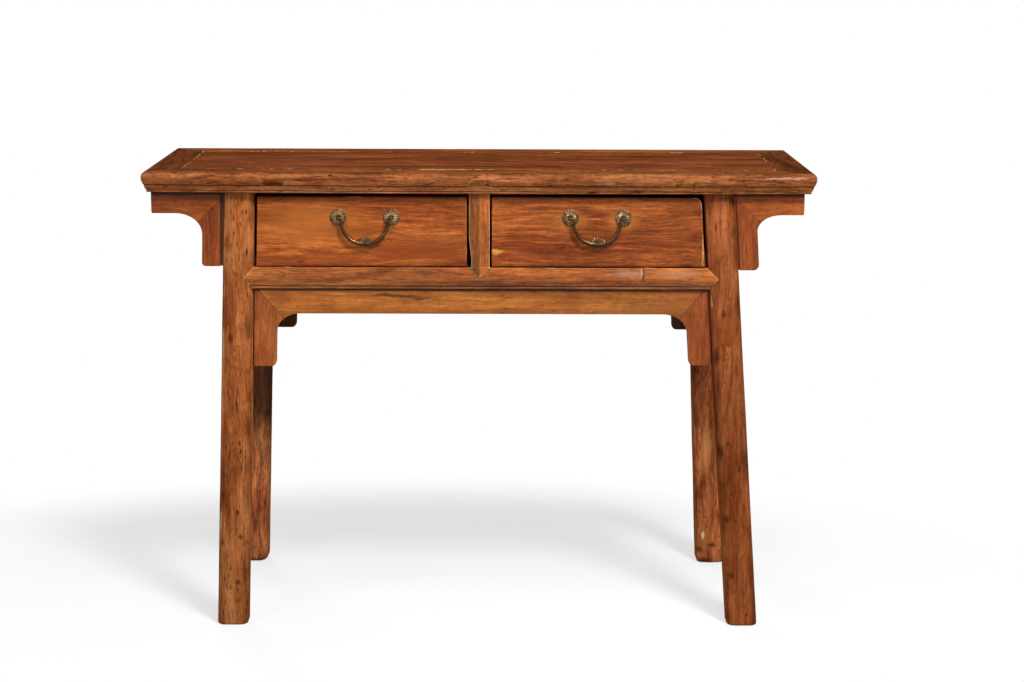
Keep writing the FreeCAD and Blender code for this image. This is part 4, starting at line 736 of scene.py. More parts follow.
def slab(outline, end, joints, ease=1.4 * mm):
    """A board of the apron's thickness with a curved outline; its arrises are tighter and darker at joints,
    with dirt in the mitres, and dirt and painted shade under the rail and the top.
    """
    turn = outward(end)
    area = sum(outline[i - 1].x * here.y - outline[i - 1].y * here.x for i, here in enumerate(outline))
    inward, dirt_and_shade_at = [], []
    for i, here in enumerate(outline):
        before = (here - outline[i - 1]).normalized()
        after = (outline[(i + 1) % len(outline)] - here).normalized()
        along = (before + after).normalized()
        stretch = 1 / max(0.35, along.dot(after))
        inward.append(Vector((-along.y, along.x)) * math.copysign(stretch, area))
        dirt_and_shade_values = [dirt_and_shade for spot, way, dirt_and_shade in joints if abs((here - spot).dot(way)) < ON_JOINT]
        dirt_and_shade_at.append(max(dirt_and_shade_values, default=0))
    curve = [(ease * (1 - math.cos(angle)), ease * (1 - math.sin(angle))) for angle in quarter_turn(4)[::-1]]
    steps = [(APRON_BACK, 1, 2.1 * ease, 0, 0)] + [(APRON_BACK, 1, inset, sink, 1) for inset, sink in curve]
    steps += [((APRON_FACE + APRON_BACK) / 2, 0, 0, 0, 0.1)]
    steps += [(APRON_FACE, -1, inset, sink, 1) for inset, sink in curve[::-1]]
    steps += [(APRON_FACE, -1, 2.1 * ease, 0, 0)]
    rings = []
    for depth, way, inset, sink, worn in steps:
        ring = []
        for here, normal, dirt_and_shade in zip(outline, inward, dirt_and_shade_at):
            share = 0.3 if dirt_and_shade else 1
            spot = here + normal * inset * share
            place = Vector(turn(spot.x, spot.y, depth + way * sink * share))
            rub = 0.6 + 0.9 * noise.noise(place * 36) + 0.3 * noise.noise(place * 110)
            ring.append((place, -dirt_and_shade * worn if dirt_and_shade else max(0, worn * rub)))
        rings.append(ring)
    return loft(rings)


def spandrel_foot(leg):
    """Corners of a spandrel, from the rail down beside the leg and back up to the apron's edge."""
    low, width = SPANDREL_LOW[leg], SPANDREL_WIDTH[leg]
    spots = ((RAIL_BOTTOM, SPANDREL_GAP, 0), (low, SPANDREL_GAP, 0), (low, width, SPANDREL_CORNER),
             (APRON_LOW, width, SPANDREL_CURVE))
    return [(beside_leg(leg, level, distance), level, reach) for level, distance, reach in spots]


def tongue(leg, beside, low, high, gap=SPANDREL_GAP):
    """The tongue that fills the gap between a spandrel and the face of its leg that beside measures from; it
    is painted dark as the shade in that gap, most on the left.
    """
    side, end = LEGS[leg]
    spots = (low, -TONGUE_DEPTH), (high, -TONGUE_DEPTH), (high, gap + mm), (low, gap + mm)
    outline = [(beside(leg, level, reach), level) for level, reach in spots]
    # Painted shade: the tongue is darkened, more on the left, to stand for the shade in the gap.
    return prism(outline, end * (APRON_BACK + 3 * mm), end * (APRON_FACE - 4 * mm), worn=0.25 * side - 0.65)


RAIL_SHADOW = "z", 0.613, 0.616, 1.0, 0.04
# The rear apron and rear spandrels are made dark partly as painted shade, for the shade they lie in under the
# case.
REAR_SHADED_TONES = (0.035, 0.012, 0.004), (0.06, 0.019, 0.006), (0.09, 0.031, 0.01)
GREYER_SHADED_TONES = (0.05, 0.022, 0.011), (0.085, 0.04, 0.021), (0.12, 0.06, 0.033)
LEFT_TONES = (0.24, 0.055, 0.0095), (0.317, 0.079, 0.0155), (0.395, 0.11, 0.026)
RIGHT_TONES = (0.178, 0.035, 0.0068), (0.235, 0.05, 0.01), (0.3, 0.072, 0.016)
apron_wood = {
    -1: old_wood(
        "waxed_apron_wood", "x", ((0.27, 0.076, 0.0125), (0.35, 0.108, 0.019), (0.42, 0.14, 0.028)),
        flame=0.6, streak=0.8, gold=0.25, speck=0.6, mottle=0.8, seed=13.0,
        shades=[RAIL_SHADOW, ("z", 0.572, 0.585, 0.8, 1.0), ("x", -0.4, 0.4, 1.19, 0.83)], marks=[
            ((0.375, -0.198, 0.595), (0.06, 0.03, 0.035), (0.3, 0.078, 0.016), 0.5),
            ((-0.165, -0.198, 0.607), (0.03, 0.03, 0.003), KNOT, 0.75),
            ((-0.135, -0.198, 0.6045), (0.035, 0.03, 0.0032), KNOT, 0.85),
            ((-0.108, -0.198, 0.601), (0.025, 0.03, 0.003), KNOT, 0.7),
            ((-0.36, -0.198, 0.6), (0.03, 0.03, 0.02), RUST, 0.6)]),
    1: old_wood("dull_rear_apron_wood", "x", REAR_SHADED_TONES, rough=0.7, gloss=0.05, seed=19.0)}
spandrel_wood = {}
for name, tones, seed in (("left", LEFT_TONES, 14.0), ("right", RIGHT_TONES, 14.5)):
    spandrel_wood[f"front_{name}"] = old_wood(
        f"waxed_{name}_spandrel_wood", "z", tones, flame=0.6, streak=0.8, speck=0.7, mottle=0.8, seed=seed,
        shades=[RAIL_SHADOW])
for leg, tones in (("rear_left", REAR_SHADED_TONES), ("rear_right", GREYER_SHADED_TONES)):
    spandrel_wood[leg] = old_wood(f"dull_{leg}_spandrel_wood", "z", tones, rough=0.7, gloss=0.05, seed=19.5)
under_rail = Vector((0, RAIL_BOTTOM)), Vector((0, 1)), JOINT_DIRT_AND_SHADE
for end_name, end in (("front", -1), ("rear", 1)):
    legs = f"{end_name}_left", f"{end_name}_right"
    left, right = (spandrel_foot(leg) for leg in legs)
    outline = rounded(right + left[::-1])
    mitres = []
    for leg in legs:
        side = LEGS[leg][0]
        high = Vector((beside_leg(leg, RAIL_BOTTOM, MITRE_HEAD), RAIL_BOTTOM))
        low = Vector((beside_leg(leg, APRON_LOW, SPANDREL_WIDTH[leg] + MITRE_FOOT), APRON_LOW))
        way = Vector((high.y - low.y, low.x - high.x)).normalized()
        way *= math.copysign(1, way.x * side)
        mitres.append((high, way, MITRE_DIRT))
        side_board = [spot for spot in clipped(outline, high, way) if spot.x * side > 0]
        skin = joined([slab(side_board, end, [mitres[-1], under_rail]),
                       tongue(leg, beside_leg, SPANDREL_LOW[leg] + 3 * mm, RAIL_BOTTOM)])
        settle(f"spandrel_{leg}", skin, spandrel_wood[leg])
    for spot, way, _ in mitres:
        outline = clipped(outline, spot, -way)
    settle(f"apron_{end_name}", slab(outline, end, [*mitres, under_rail]), apron_wood[end])

# Hanging spandrels
# A bracket outside each leg: an arm under the top's overhanging end, mitred to a curved drop by the leg.
# They are the same boards as the apron, darker on the left.
HANGING_UNDER, HANGING_WIDTH, HANGING_MITRE = 753 * mm, 37 * mm, 8 * mm
HANGING_LOW, HANGING_GAP = {-1: 657.5 * mm, 1: 653 * mm}, {-1: 5 * mm, 1: 2 * mm}
HANGING_CURVE = {-1: (48 * mm, 38 * mm), 1: (45 * mm, 30 * mm)}
HANGING_CORNER = {-1: (7 * mm, 7 * mm), 1: (11 * mm, 11 * mm)}
HANGING_TIP, TIP_CORNER = {-1: 586.5 * mm, 1: 582 * mm}, (3 * mm, 3 * mm)
ARM_TONES = {-1: ((0.125, 0.026, 0.0042), (0.21, 0.043, 0.0073), (0.295, 0.07, 0.0125)),
             1: ((0.29, 0.067, 0.0115), (0.4, 0.097, 0.0172), (0.5, 0.14, 0.028))}
DROP_TONES = {-1: ((0.17, 0.036, 0.006), (0.25, 0.053, 0.009), (0.33, 0.08, 0.016)),
              1: ((0.2, 0.042, 0.0078), (0.275, 0.057, 0.011), (0.34, 0.08, 0.017))}
TOP_SHADOW = "z", UNDER_TOP - 9 * mm, UNDER_TOP - 4.5 * mm, 1.0, 0.04
arm_wood, drop_wood = {}, {}
for side, name, seed in ((-1, "left", 15.0), (1, "right", 16.0)):
    arm_wood[side] = old_wood(f"hanging_arm_wood_{name}", "x", ARM_TONES[side], flame=0.6, streak=0.9,
                              seed=seed, shades=[TOP_SHADOW])
    drop_wood[side] = old_wood(f"hanging_drop_wood_{name}", "z", DROP_TONES[side], flame=0.6, seed=seed + 2,
                               shades=[TOP_SHADOW])
for leg, (side, end) in LEGS.items():
    low, gap, tip = HANGING_LOW[side], HANGING_GAP[side], side * HANGING_TIP[side]
    crook = outside_leg(leg, HANGING_UNDER, HANGING_WIDTH)
    outline = rounded([
        (outside_leg(leg, UNDER_TOP, gap), UNDER_TOP, 0), (tip, UNDER_TOP, 0),
        (tip, HANGING_UNDER, TIP_CORNER), (crook, HANGING_UNDER, HANGING_CURVE[side]),
        (outside_leg(leg, low, HANGING_WIDTH), low, HANGING_CORNER[side]),
        (outside_leg(leg, low, gap), low, 0)])
    spot, way = Vector((crook - side * HANGING_MITRE, HANGING_UNDER)), Vector((side, 1)).normalized()
    joints = [(spot, way, MITRE_DIRT), (Vector((0, UNDER_TOP)), Vector((0, 1)), JOINT_DIRT_AND_SHADE)]
    arm = slab(clipped(outline, spot, way), end, joints)
    settle(f"hanging_arm_{leg}", arm, arm_wood[side])
    drop = joined([slab(clipped(outline, spot, -way), end, joints),
                   tongue(leg, outside_leg, low + 0.5 * mm, UNDER_TOP - mm, gap)])
    settle(f"hanging_drop_{leg}", drop, drop_wood[side])

# Top
# Four mitred members with a moulded edge hold a floating panel, and three battens under it come out through
# the long members as tenon ends. The face is dull from use, and the rolled edge is rubbed bright, partly with
# a painted sheen. Painted shade darkens the front member's upward faces, and the pale lines at the panel are
# partly worn and partly a painted highlight.
HALF_WIDTH, HALF_DEPTH, TABLE_HEIGHT = 600 * mm, 225 * mm, 830 * mm
FRAME_WIDTH, PANEL_THICKNESS, PANEL_GAP = 64 * mm, 13 * mm, 0.8 * mm
ROLL_RADIUS, BELLY_RADIUS = 130 / 14, 185.76 / 6.8
# How pale the members' inner arrises are by the panel: partly worn bare and partly a painted highlight for
# the lit edge of the joint.
LONG_EDGE_PALE_LINE, END_EDGE_PALE_LINE = 1.1, 1.6
MEMBER_STEPS, FRONT_SUNK, FRONT_SAG = 150, 0.8 * mm, 1.5 * mm
BATTENS = {"left": -366 * mm, "centre": 0.0, "right": 366 * mm}
TENON_HALF, TENON_LOW, TENON_HIGH = 17.3 * mm, 804.7 * mm, 817.3 * mm
TENON_START, TENON_END = 150 * mm, 240 * mm


def arc(start, end, radius, steps):
    """Points on an arc between two points, bulging to the left of the way from start to end."""
    start, end = Vector(start), Vector(end)
    half = (end - start) / 2
    rise = math.sqrt(max(0, radius ** 2 - half.length ** 2))
    centre = start + half - Vector((-half.y, half.x)).normalized() * rise
    sweep = -2 * math.asin(min(1, half.length / radius))
    turns = [Matrix.Rotation(sweep * step / steps, 2) for step in range(1, steps + 1)]
    return [centre + turn @ (start - centre) for turn in turns]


def edge_profile(bare):
    """The section of a member in millimetres: inset from the widest line, fall from the face, and wear."""
    face = (64, 0, bare), (63.3, 0, 0.8 * bare), (62.4, 0, 0), (40, 0, 0), (20, 0, 0), (7, 0, 0.1)
    roll = [(*spot, 0.6 * min(1, max(0, spot.y / 3 - 0.6))) for spot in arc((7, 0), (0, 9), ROLL_RADIUS, 9)]
    belly = [(*spot, 0.5) for spot in arc((0, 9), (3.4, 22.2), BELLY_RADIUS, 7)]
    quirk = (4.4, 22.8, -1.0), (4.9, 23.6, -1.0), (4.4, 24.3, -0.4)
    band = (4.9, 25.4, 0.4), (6.0, 28.8, 0.5), (7.3, 32.0, 0.4), (8.7, 32.7, -1.0), (8.3, 33.3, 0.3)
    bead = [(8.2 + 1.3 * step * step, 34.9 + 1.7 * step, 0.8) for step in (-0.8, -0.3, 0.3, 0.8)]
    under = (10, 37, 0.1), (40, 37, 0), (64, 37, 0), (64, 18, 0), (64, 1, bare)
    return [*face, *roll, *belly, *quirk, *band, *bead, *under]


def frame_member(turn, half_length, bare, sunk=0.0, sag=0.0):
    """A mitred member of the top; turn(along, inset, fall) gives a place.

    sunk lowers its inner edge, and sag its middle.
    """
    rings = []
    for step in range(MEMBER_STEPS + 1):
        share = 2 * step / MEMBER_STEPS - 1
        ring = []
        for inset_mm, fall_mm, worn in edge_profile(bare):
            inset, fall = inset_mm * mm, fall_mm * mm
            along = (half_length - inset) * share
            seed = Vector(turn(along, inset, fall))
            rub = 0.75 + 0.8 * noise.noise(seed * 30) + 0.35 * noise.noise(seed * 100) if worn > 0 else 1
            dent = 0.3 * mm * max(0, noise.noise(seed * 24)) if worn > 0 else 0
            fall += sag * (1 - share ** 2)
            if fall_mm < 2:
                fall += sunk * share_of(inset_mm, 10, 40)
            ring.append((turn(along, inset + dent, fall + dent), max(-1, worn * rub)))
        rings.append(ring)
    return loft(rings)


def front_or_rear(end):
    return lambda along, inset, fall: (along, end * (HALF_DEPTH - inset), TABLE_HEIGHT - fall)


def left_or_right(side):
    return lambda along, inset, fall: (side * (HALF_WIDTH - inset), along, TABLE_HEIGHT - fall)


HONEY = 0.5, 0.22, 0.045
# Painted shade: the front member's upward faces are darkened.
front_edge_wood = old_wood(
    "rubbed_front_edge_wood_with_painted_light", "x", ((0.2, 0.056, 0.016), (0.29, 0.09, 0.028), (0.39, 0.14, 0.05)),
    flame=0.7, streak=1.2, speck=1.5, mottle=1.3, rough=0.5, gloss=0.0, seed=20.0,
    shades=[("z", 0.8255, 0.8295, 1.0, 0.56), ("z", 0.806, 0.822, 0.93, 0.92)], marks=[
        ((0.28, -0.222, 0.797), (0.014, 0.02, 0.004), KNOT, 0.85),
        ((-0.009, -0.222, 0.811), (0.013, 0.02, 0.009), HONEY, 0.75),
        ((0.352, -0.222, 0.812), (0.012, 0.02, 0.005), HONEY, 0.6),
        # Painted highlight: a pale streak on the roll near its right end.
        ((0.545, -0.2245, 0.8215), (0.05, 0.02, 0.0018), (0.7, 0.5, 0.36), 0.5)])
rear_edge_wood = old_wood(
    "rear_member_wood", "x", ((0.14, 0.037, 0.01), (0.21, 0.06, 0.016), (0.3, 0.1, 0.028)),
    rough=0.62, gloss=0.0, scratch=0.5, seed=21.0)
end_member_wood = old_wood(
    "end_member_wood", "y", ((0.085, 0.026, 0.009), (0.125, 0.036, 0.012), (0.17, 0.051, 0.018)),
    rough=0.62, gloss=0.0, speck=0.8, scratch=0.15, seed=22.0, shades=[("x", -0.2, 0.56, 1.0, 0.76)])
panel_wood = old_wood(
    "dull_panel_wood", "x", ((0.1, 0.026, 0.008), (0.165, 0.044, 0.014), (0.23, 0.066, 0.022)),
    flame=1.3, scratch=0.4, rough=0.66, gloss=0.0, seed=23.0)
for name, end, wood, sunk, sag in (("front", -1, front_edge_wood, FRONT_SUNK, FRONT_SAG),
                                   ("rear", 1, rear_edge_wood, 0, 0)):
    holes = [to_piece("hole", prism(oblong(middle, TENON_HALF, TENON_LOW, TENON_HIGH), end * TENON_START,
                                    end * TENON_END)) for middle in BATTENS.values()]
    skin = frame_member(front_or_rear(end), HALF_WIDTH, LONG_EDGE_PALE_LINE, sunk, sag)
    settle(f"top_{name}_member", skin, wood, cutters=holes, sharp=28)
for name, side in (("left", -1), ("right", 1)):
    skin = frame_member(left_or_right(side), HALF_DEPTH, END_EDGE_PALE_LINE)
    settle(f"top_{name}_member", skin, end_member_wood, sharp=28)
half_x, half_y = (half - FRAME_WIDTH - PANEL_GAP for half in (HALF_WIDTH, HALF_DEPTH))
# The panel's front arris is paled, partly worn and partly a painted highlight.
skin = board(lambda level: (-half_x, half_x), (-half_y, half_y), TABLE_HEIGHT,
             TABLE_HEIGHT - PANEL_THICKNESS, lambda along, level, depth: (along, level, depth),
             arris=0.8 * mm, pitch=10 * mm, bare=0.3, patch=130 * mm,
             relief=lambda along, level: -0.8 * mm * max(0, level / half_y),
             pale=lambda along, level: 0.2 if level < mm - half_y else 0)
settle("top_panel", skin, panel_wood)
batten_tones = {"left": ((0.12, 0.035, 0.01), (0.2, 0.058, 0.015), (0.3, 0.1, 0.026)),
                "centre": ((0.24, 0.085, 0.02), (0.38, 0.145, 0.034), (0.52, 0.22, 0.05)),
                "right": ((0.22, 0.07, 0.018), (0.33, 0.115, 0.03), (0.46, 0.18, 0.05))}
for name, tones in batten_tones.items():
    wood = old_wood(f"batten_wood_{name}", "y", tones, speck=2.5, rough=0.7, gloss=0.05, seed=24.0)
    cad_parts[f"top_batten_{name}"].data.materials[0] = wood

# Drawers
# Two dovetailed boxes with thick figured fronts and thin pale sides, backs and bottoms of a plainer wood.
# The fronts follow the lean of the legs, and their edges are rubbed from use. Painted shadow darkens the top
# and foot of each front, and the right front's top corner has a painted highlight.
DRAWER_FACE, FRONT_THICKNESS, FRONT_LOWERED = 199.45 * mm, 20 * mm, 1.8 * mm
END_GAP, INNER_GAP, FRONT_CORNER = 5 * mm, 0.3 * mm, {-1: 2.5 * mm, 1: 12 * mm}
PALE_FROM, PALEST_ABOVE = 383 * mm, 764 * mm
GILT = 0.5, 0.17, 0.032
FIGURED = {"flame": 1.3, "streak": 1.3, "gold": 0.3, "mottle": 0.8, "rough": 0.44, "gloss": 0.15}
# Painted shadow: a dark band under the top's overhang, lifted back on the front's top face, and a dark line
# along the foot for the shade in the gap above the rail, partly dirt.
FRONT_EDGE_SHADOWS = (("z", 0.779, 0.7835, 1.0, 0.35), ("z", 0.7839, 0.7841, 1.0, 2.6),
               ("z", 0.6585, 0.6618, 0.08, 1.0))
front_wood = {
    "left": old_wood(
        "figured_left_front_wood", "x",
        ((0.25, 0.053, 0.0095), (0.345, 0.083, 0.0145), (0.425, 0.118, 0.023)),
        **FIGURED, speck=0.7, seed=30.0, shades=[("x", -0.4, -0.02, 1.05, 1.01), *FRONT_EDGE_SHADOWS], marks=[
            ((-0.3, -0.199, 0.735), (0.12, 0.03, 0.05), (0.5, 0.15, 0.026), 0.55),
            ((-0.12, -0.199, 0.69), (0.11, 0.03, 0.03), (0.26, 0.05, 0.01), 0.6),
            ((-0.29, -0.199, 0.668), (0.12, 0.03, 0.012), (0.3, 0.065, 0.012), 0.5),
            ((-0.32, -0.199, 0.669), (0.01, 0.03, 0.004), KNOT, 0.7)]),
    "right": old_wood(
        "figured_right_front_wood", "x",
        ((0.21, 0.043, 0.0085), (0.3, 0.07, 0.0145), (0.38, 0.105, 0.023)),
        **FIGURED, speck=0.9, seed=31.0, shades=[("x", 0.02, 0.4, 1.19, 0.83), *FRONT_EDGE_SHADOWS], marks=[
            ((0.163, -0.199, 0.742), (0.037, 0.02, 0.022), GILT, 0.65),
            ((0.258, -0.199, 0.742), (0.037, 0.02, 0.022), GILT, 0.6),
            ((0.031, -0.199, 0.686), (0.011, 0.02, 0.006), (0.62, 0.34, 0.07), 0.9),
            ((0.402, -0.199, 0.69), (0.0025, 0.03, 0.035), (0.6, 0.34, 0.1), 0.6),
            ((0.37, -0.199, 0.661), (0.02, 0.02, 0.004), KNOT, 0.75)])}
side_wood = old_wood(
    "plain_drawer_side_wood", "y", ((0.34, 0.19, 0.09), (0.46, 0.28, 0.14), (0.56, 0.37, 0.2)),
    rough=0.7, gloss=0.06, seed=32.0)
box_wood = {
    "inner_side": side_wood, "outer_side": side_wood,
    "back": old_wood(
        "plain_drawer_back_wood", "x", ((0.33, 0.18, 0.085), (0.45, 0.27, 0.135), (0.55, 0.36, 0.19)),
        rough=0.7, gloss=0.06, seed=33.0),
    "bottom": old_wood(
        "plain_drawer_bottom_wood", "x", ((0.36, 0.22, 0.11), (0.48, 0.31, 0.17), (0.58, 0.4, 0.24)),
        flame=1.5, rough=0.75, gloss=0.05, seed=34.0)}


def worn_end_and_highlight(along, level):
    """How pale the right end of the right front is: worn along the end, and at its top corner partly a
    painted highlight.
    """
    return 0 if along <= PALE_FROM else 0.7 if level > PALEST_ABOVE else 0.4


for name, side in (("left", -1), ("right", 1)):
    low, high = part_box(f"{name}_drawer_front")
    corner, top = FRONT_CORNER[side], high.z - FRONT_LOWERED

    def front_span(level):
        inner = (low.x if side > 0 else high.x) + side * INNER_GAP
        rounding = corner - math.sqrt(max(0, corner ** 2 - max(0, level - (top - corner)) ** 2))
        return sorted((inner, beside_leg("front_" + name, level, END_GAP) - side * rounding))

    skin = board(front_span, (low.z, top), DRAWER_FACE, DRAWER_FACE - FRONT_THICKNESS, outward(-1),
                 arris=1.6 * mm, pitch=5 * mm, bare=0.75, pale=worn_end_and_highlight)
    settle(f"{name}_drawer_front", skin, front_wood[name], body=f"{name}_drawer")
    for wall, wood in box_wood.items():
        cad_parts[f"{name}_drawer_{wall}"].data.materials[0] = wood

# Pulls
# Aged brass: two petalled rosettes and two looped posts to a drawer, their ends clenched behind the front,
# and a cast bail that swings in the loops, thickest at its grip, where a small shell stands on it.
PETALS, ROSETTE_RADIUS, ROSETTE_STEPS, PETAL_LEVEL = 20, 15.5 * mm, 120, 1.25 * mm
PETAL_RING, PETAL_SIZE = 13 * mm, (4.8 * mm, 2.7 * mm, 2.8 * mm)
EYE_HALF, EYE_LEVEL, EYE_LINE = 47.5 * mm, 747 * mm, 209.05 * mm
PULL_MIDDLE = {"left": -205 * mm, "right": 210.5 * mm}
BAIL_RADIUS, BAIL_DROP, BAIL_BEND, BAIL_ARM, PIN_RADIUS = 42 * mm, 39 * mm, 3.6 * mm, 4 * mm, 1.8 * mm
SHELL_HALF, SHELL_HEIGHT, SHELL_SWELL, SHELL_RIM = 18 * mm, 14 * mm, 2.8 * mm, 0.5 * mm
SHELL_LOBES, SHELL_ROWS, SHELL_COLUMNS = 9, 8, 56


def aged_brass(name, tones, rough=0.42):
    """Brass gone brown, brighter on what the hand rubs and dark with dirt in its hollows; on the bail these
    are a painted highlight and painted shade instead.
    """
    finish = bpy.data.materials.new(name)
    tree = cleared(finish)
    place = add(tree, "ShaderNodeTexCoord", {}).outputs["Object"]

    def clouds(scale, detail, roughness=0.5):
        sockets = {"Vector": place, "Scale": scale, "Detail": detail, "Roughness": roughness}
        return add(tree, "ShaderNodeTexNoise", sockets).outputs[0]

    def blend(main, other):
        return sums(tree, "ADD", sums(tree, "MULTIPLY", main, 0.6), sums(tree, "MULTIPLY", other, 0.4))

    patina, stains, grit = clouds(260.0, 4.0, 0.6), clouds(70.0, 2.0), clouds(1400.0, 2.0)
    brown = toned(tree, blend(patina, stains), tones, (0.36, 0.52, 0.68))
    wear_and_painted_light = add(tree, "ShaderNodeAttribute", {}, attribute_name="wear_and_painted_light").outputs["Fac"]
    bright = mixed(tree, 1.0, brown, rgb(1.7, 1.65, 1.5), "MULTIPLY")
    colour = mixed(tree, ranged(tree, wear_and_painted_light, 0, 1, 0, 0.7), brown, bright)
    colour = mixed(tree, ranged(tree, wear_and_painted_light, 0, -1, 0, 0.92), colour, rgb(0.012, 0.007, 0.004))
    bump = add(tree, "ShaderNodeBump", {"Strength": 0.3, "Distance": 0.0003, "Height": blend(patina, grit)})
    dull = ranged(tree, patina, 0.3, 0.7, rough + 0.14, rough - 0.08)
    shader = add(tree, "ShaderNodeBsdfPrincipled", {"Base Color": colour, "Metallic": 0.9, "Roughness": dull,
                                                    "Normal": bump.outputs[0]})
    add(tree, "ShaderNodeOutputMaterial", {"Surface": shader.outputs[0]})
    return finish


def turned(profile, scallop, flute):
    """A plate turned about the axis that points out of the drawer; scallop waves its rim, flute its face."""
    rings = []
    for radius, rise, worn in profile:
        ring = []
        for step in range(ROSETTE_STEPS):
            angle = 2 * math.pi * step / ROSETTE_STEPS
            edge = max(0, radius / ROSETTE_RADIUS - 0.7) / 0.3
            wave = radius * (1 + scallop * math.cos(PETALS * angle) * edge)
            rib = math.cos(PETALS * angle) * max(0, 1 - abs(radius / ROSETTE_RADIUS - 0.55) / 0.3)
            place = Vector((wave * math.cos(angle), wave * math.sin(angle), rise + flute * rib))
            ring.append((place, worn + 0.7 * rib))
        rings.append(ring)
    return loft(rings)


def petal_skin():
    """One petal of the rosette's rim: a small lens, pointed inward and round outward."""
    rings = []
    for share in (step / 7 for step in range(1, 7)):
        half = 0.5 * math.sin(math.pi * share ** 0.75)
        angles = [2 * math.pi * turn / 8 for turn in range(8)]
        rings.append([(Vector((share - 0.5, half * math.cos(angle), half * math.sin(angle))),
                       0.5 + 0.5 * math.sin(angle)) for angle in angles])
    return loft(rings)


def petal_ring_tree(sizes):
    """The petals set out round the rosette's rim; sizes gives each setting's name and kind."""
    tree = bpy.data.node_groups.new("petal_ring", "GeometryNodeTree")
    tree.interface.new_socket("Geometry", in_out="INPUT", socket_type="NodeSocketGeometry")
    for name, kind in sizes:
        tree.interface.new_socket(name, in_out="INPUT", socket_type=kind)
    tree.interface.new_socket("Geometry", in_out="OUTPUT", socket_type="NodeSocketGeometry")
    given = add(tree, "NodeGroupInput", {}).outputs
    ring = add(tree, "GeometryNodeMeshCircle", {"Vertices": given["Petals"], "Radius": given["Ring radius"]})
    spot = add(tree, "GeometryNodeInputPosition", {}).outputs[0]
    outwards = add(tree, "FunctionNodeAlignRotationToVector", {"Vector": spot}, axis="X", pivot_axis="Z")
    set_out = add(tree, "GeometryNodeInstanceOnPoints", {
        "Points": ring.outputs[0], "Instance": given["Geometry"], "Rotation": outwards.outputs[0],
        "Scale": given["Petal size"]})
    real = add(tree, "GeometryNodeRealizeInstances", {"Geometry": set_out.outputs[0]})
    cast = add(tree, "GeometryNodeSetMaterial", {"Geometry": real.outputs[0], "Material": given["Brass"]})
    add(tree, "NodeGroupOutput", {0: cast.outputs[0]})
    return tree


rosette_brass = aged_brass(
    "aged_rosette_brass", ((0.065, 0.036, 0.016), (0.2, 0.115, 0.051), (0.38, 0.24, 0.115)), rough=0.36)
post_brass = aged_brass("aged_post_brass", ((0.06, 0.03, 0.012), (0.17, 0.09, 0.035), (0.3, 0.17, 0.07)))
bail_brass = aged_brass(
    "aged_bail_brass", ((0.036, 0.018, 0.008), (0.075, 0.038, 0.016), (0.15, 0.082, 0.034)), rough=0.29)
petal = to_piece("petal_ring", petal_skin(), rosette_brass)
rule = petal.modifiers.new("petal ring", "NODES")
rule.node_group = petal_ring_tree((("Petals", "NodeSocketInt"), ("Ring radius", "NodeSocketFloat"),
                                   ("Petal size", "NodeSocketVector"), ("Brass", "NodeSocketMaterial")))
sizes = {"Petals": PETALS, "Ring radius": PETAL_RING, "Petal size": PETAL_SIZE, "Brass": rosette_brass}
for socket in rule.node_group.interface.items_tree:
    if socket.in_out == "INPUT" and socket.name in sizes:
        rule[socket.identifier] = sizes[socket.name]
petal_ring = bpy.data.meshes.new_from_object(petal.evaluated_get(bpy.context.evaluated_depsgraph_get()))
petal.modifiers.clear()
bpy.data.objects.remove(petal)

PLATE = ((2.0, -0.2, 0), (14.4, -0.2, 0), (15.1, 0.0, 0), (15.2, 0.5, 0.2), (14.4, 1.0, -0.95),
         (12.6, 1.5, -0.95), (11.2, 1.9, -0.2), (9.5, 2.3, 0.1), (8.0, 2.7, 0.1), (6.4, 3.0, 0.2),
         (5.0, 3.3, 0.3), (4.2, 3.2, -0.7), (2.6, 2.9, -0.9))


def rosette(x):
    """A turned plate, given as radius and rise in millimetres and wear, with the petals on its rim."""
    profile = [(radius * mm, rise * mm, worn) for radius, rise, worn in PLATE]
    plate = turned(profile, scallop=0.03, flute=0.3 * mm)
    plate.from_mesh(petal_ring)
    for vert in plate.verts[ROSETTE_STEPS * len(PLATE):]:
        vert.co.z += PETAL_LEVEL
    for vert in plate.verts:
        vert.co = Vector((x + vert.co.x, -DRAWER_FACE - vert.co.z, EYE_LEVEL + vert.co.y))
    return plate


def bail_path():
    """Places along the middle of the bail, seen from the front, with the rod's radius at each."""
    bend = -BAIL_RADIUS - BAIL_BEND
    path = [(Vector((bend - 6 * mm + step * 2 * mm, 0)), PIN_RADIUS) for step in range(4)]
    for step in range(1, 7):
        angle = math.pi / 2 * (1 - step / 6)
        spot = Vector((bend + BAIL_BEND * math.cos(angle), -BAIL_BEND + BAIL_BEND * math.sin(angle)))
        path.append((spot, PIN_RADIUS + 0.11 * step * mm))
    path.append((Vector((-BAIL_RADIUS, -BAIL_BEND - BAIL_ARM / 2)), 2.55 * mm))
    for step, turn in enumerate(quarter_turn(24)):
        angle = math.pi + turn
        spot = Vector((BAIL_RADIUS * math.cos(angle), -BAIL_BEND - BAIL_ARM + BAIL_DROP * math.sin(angle)))
        path.append((spot, (2.6 + 1.1 * min(1, step / 14)) * mm))
    return path + [(Vector((-spot.x, spot.y)), thick) for spot, thick in path[-2::-1]]


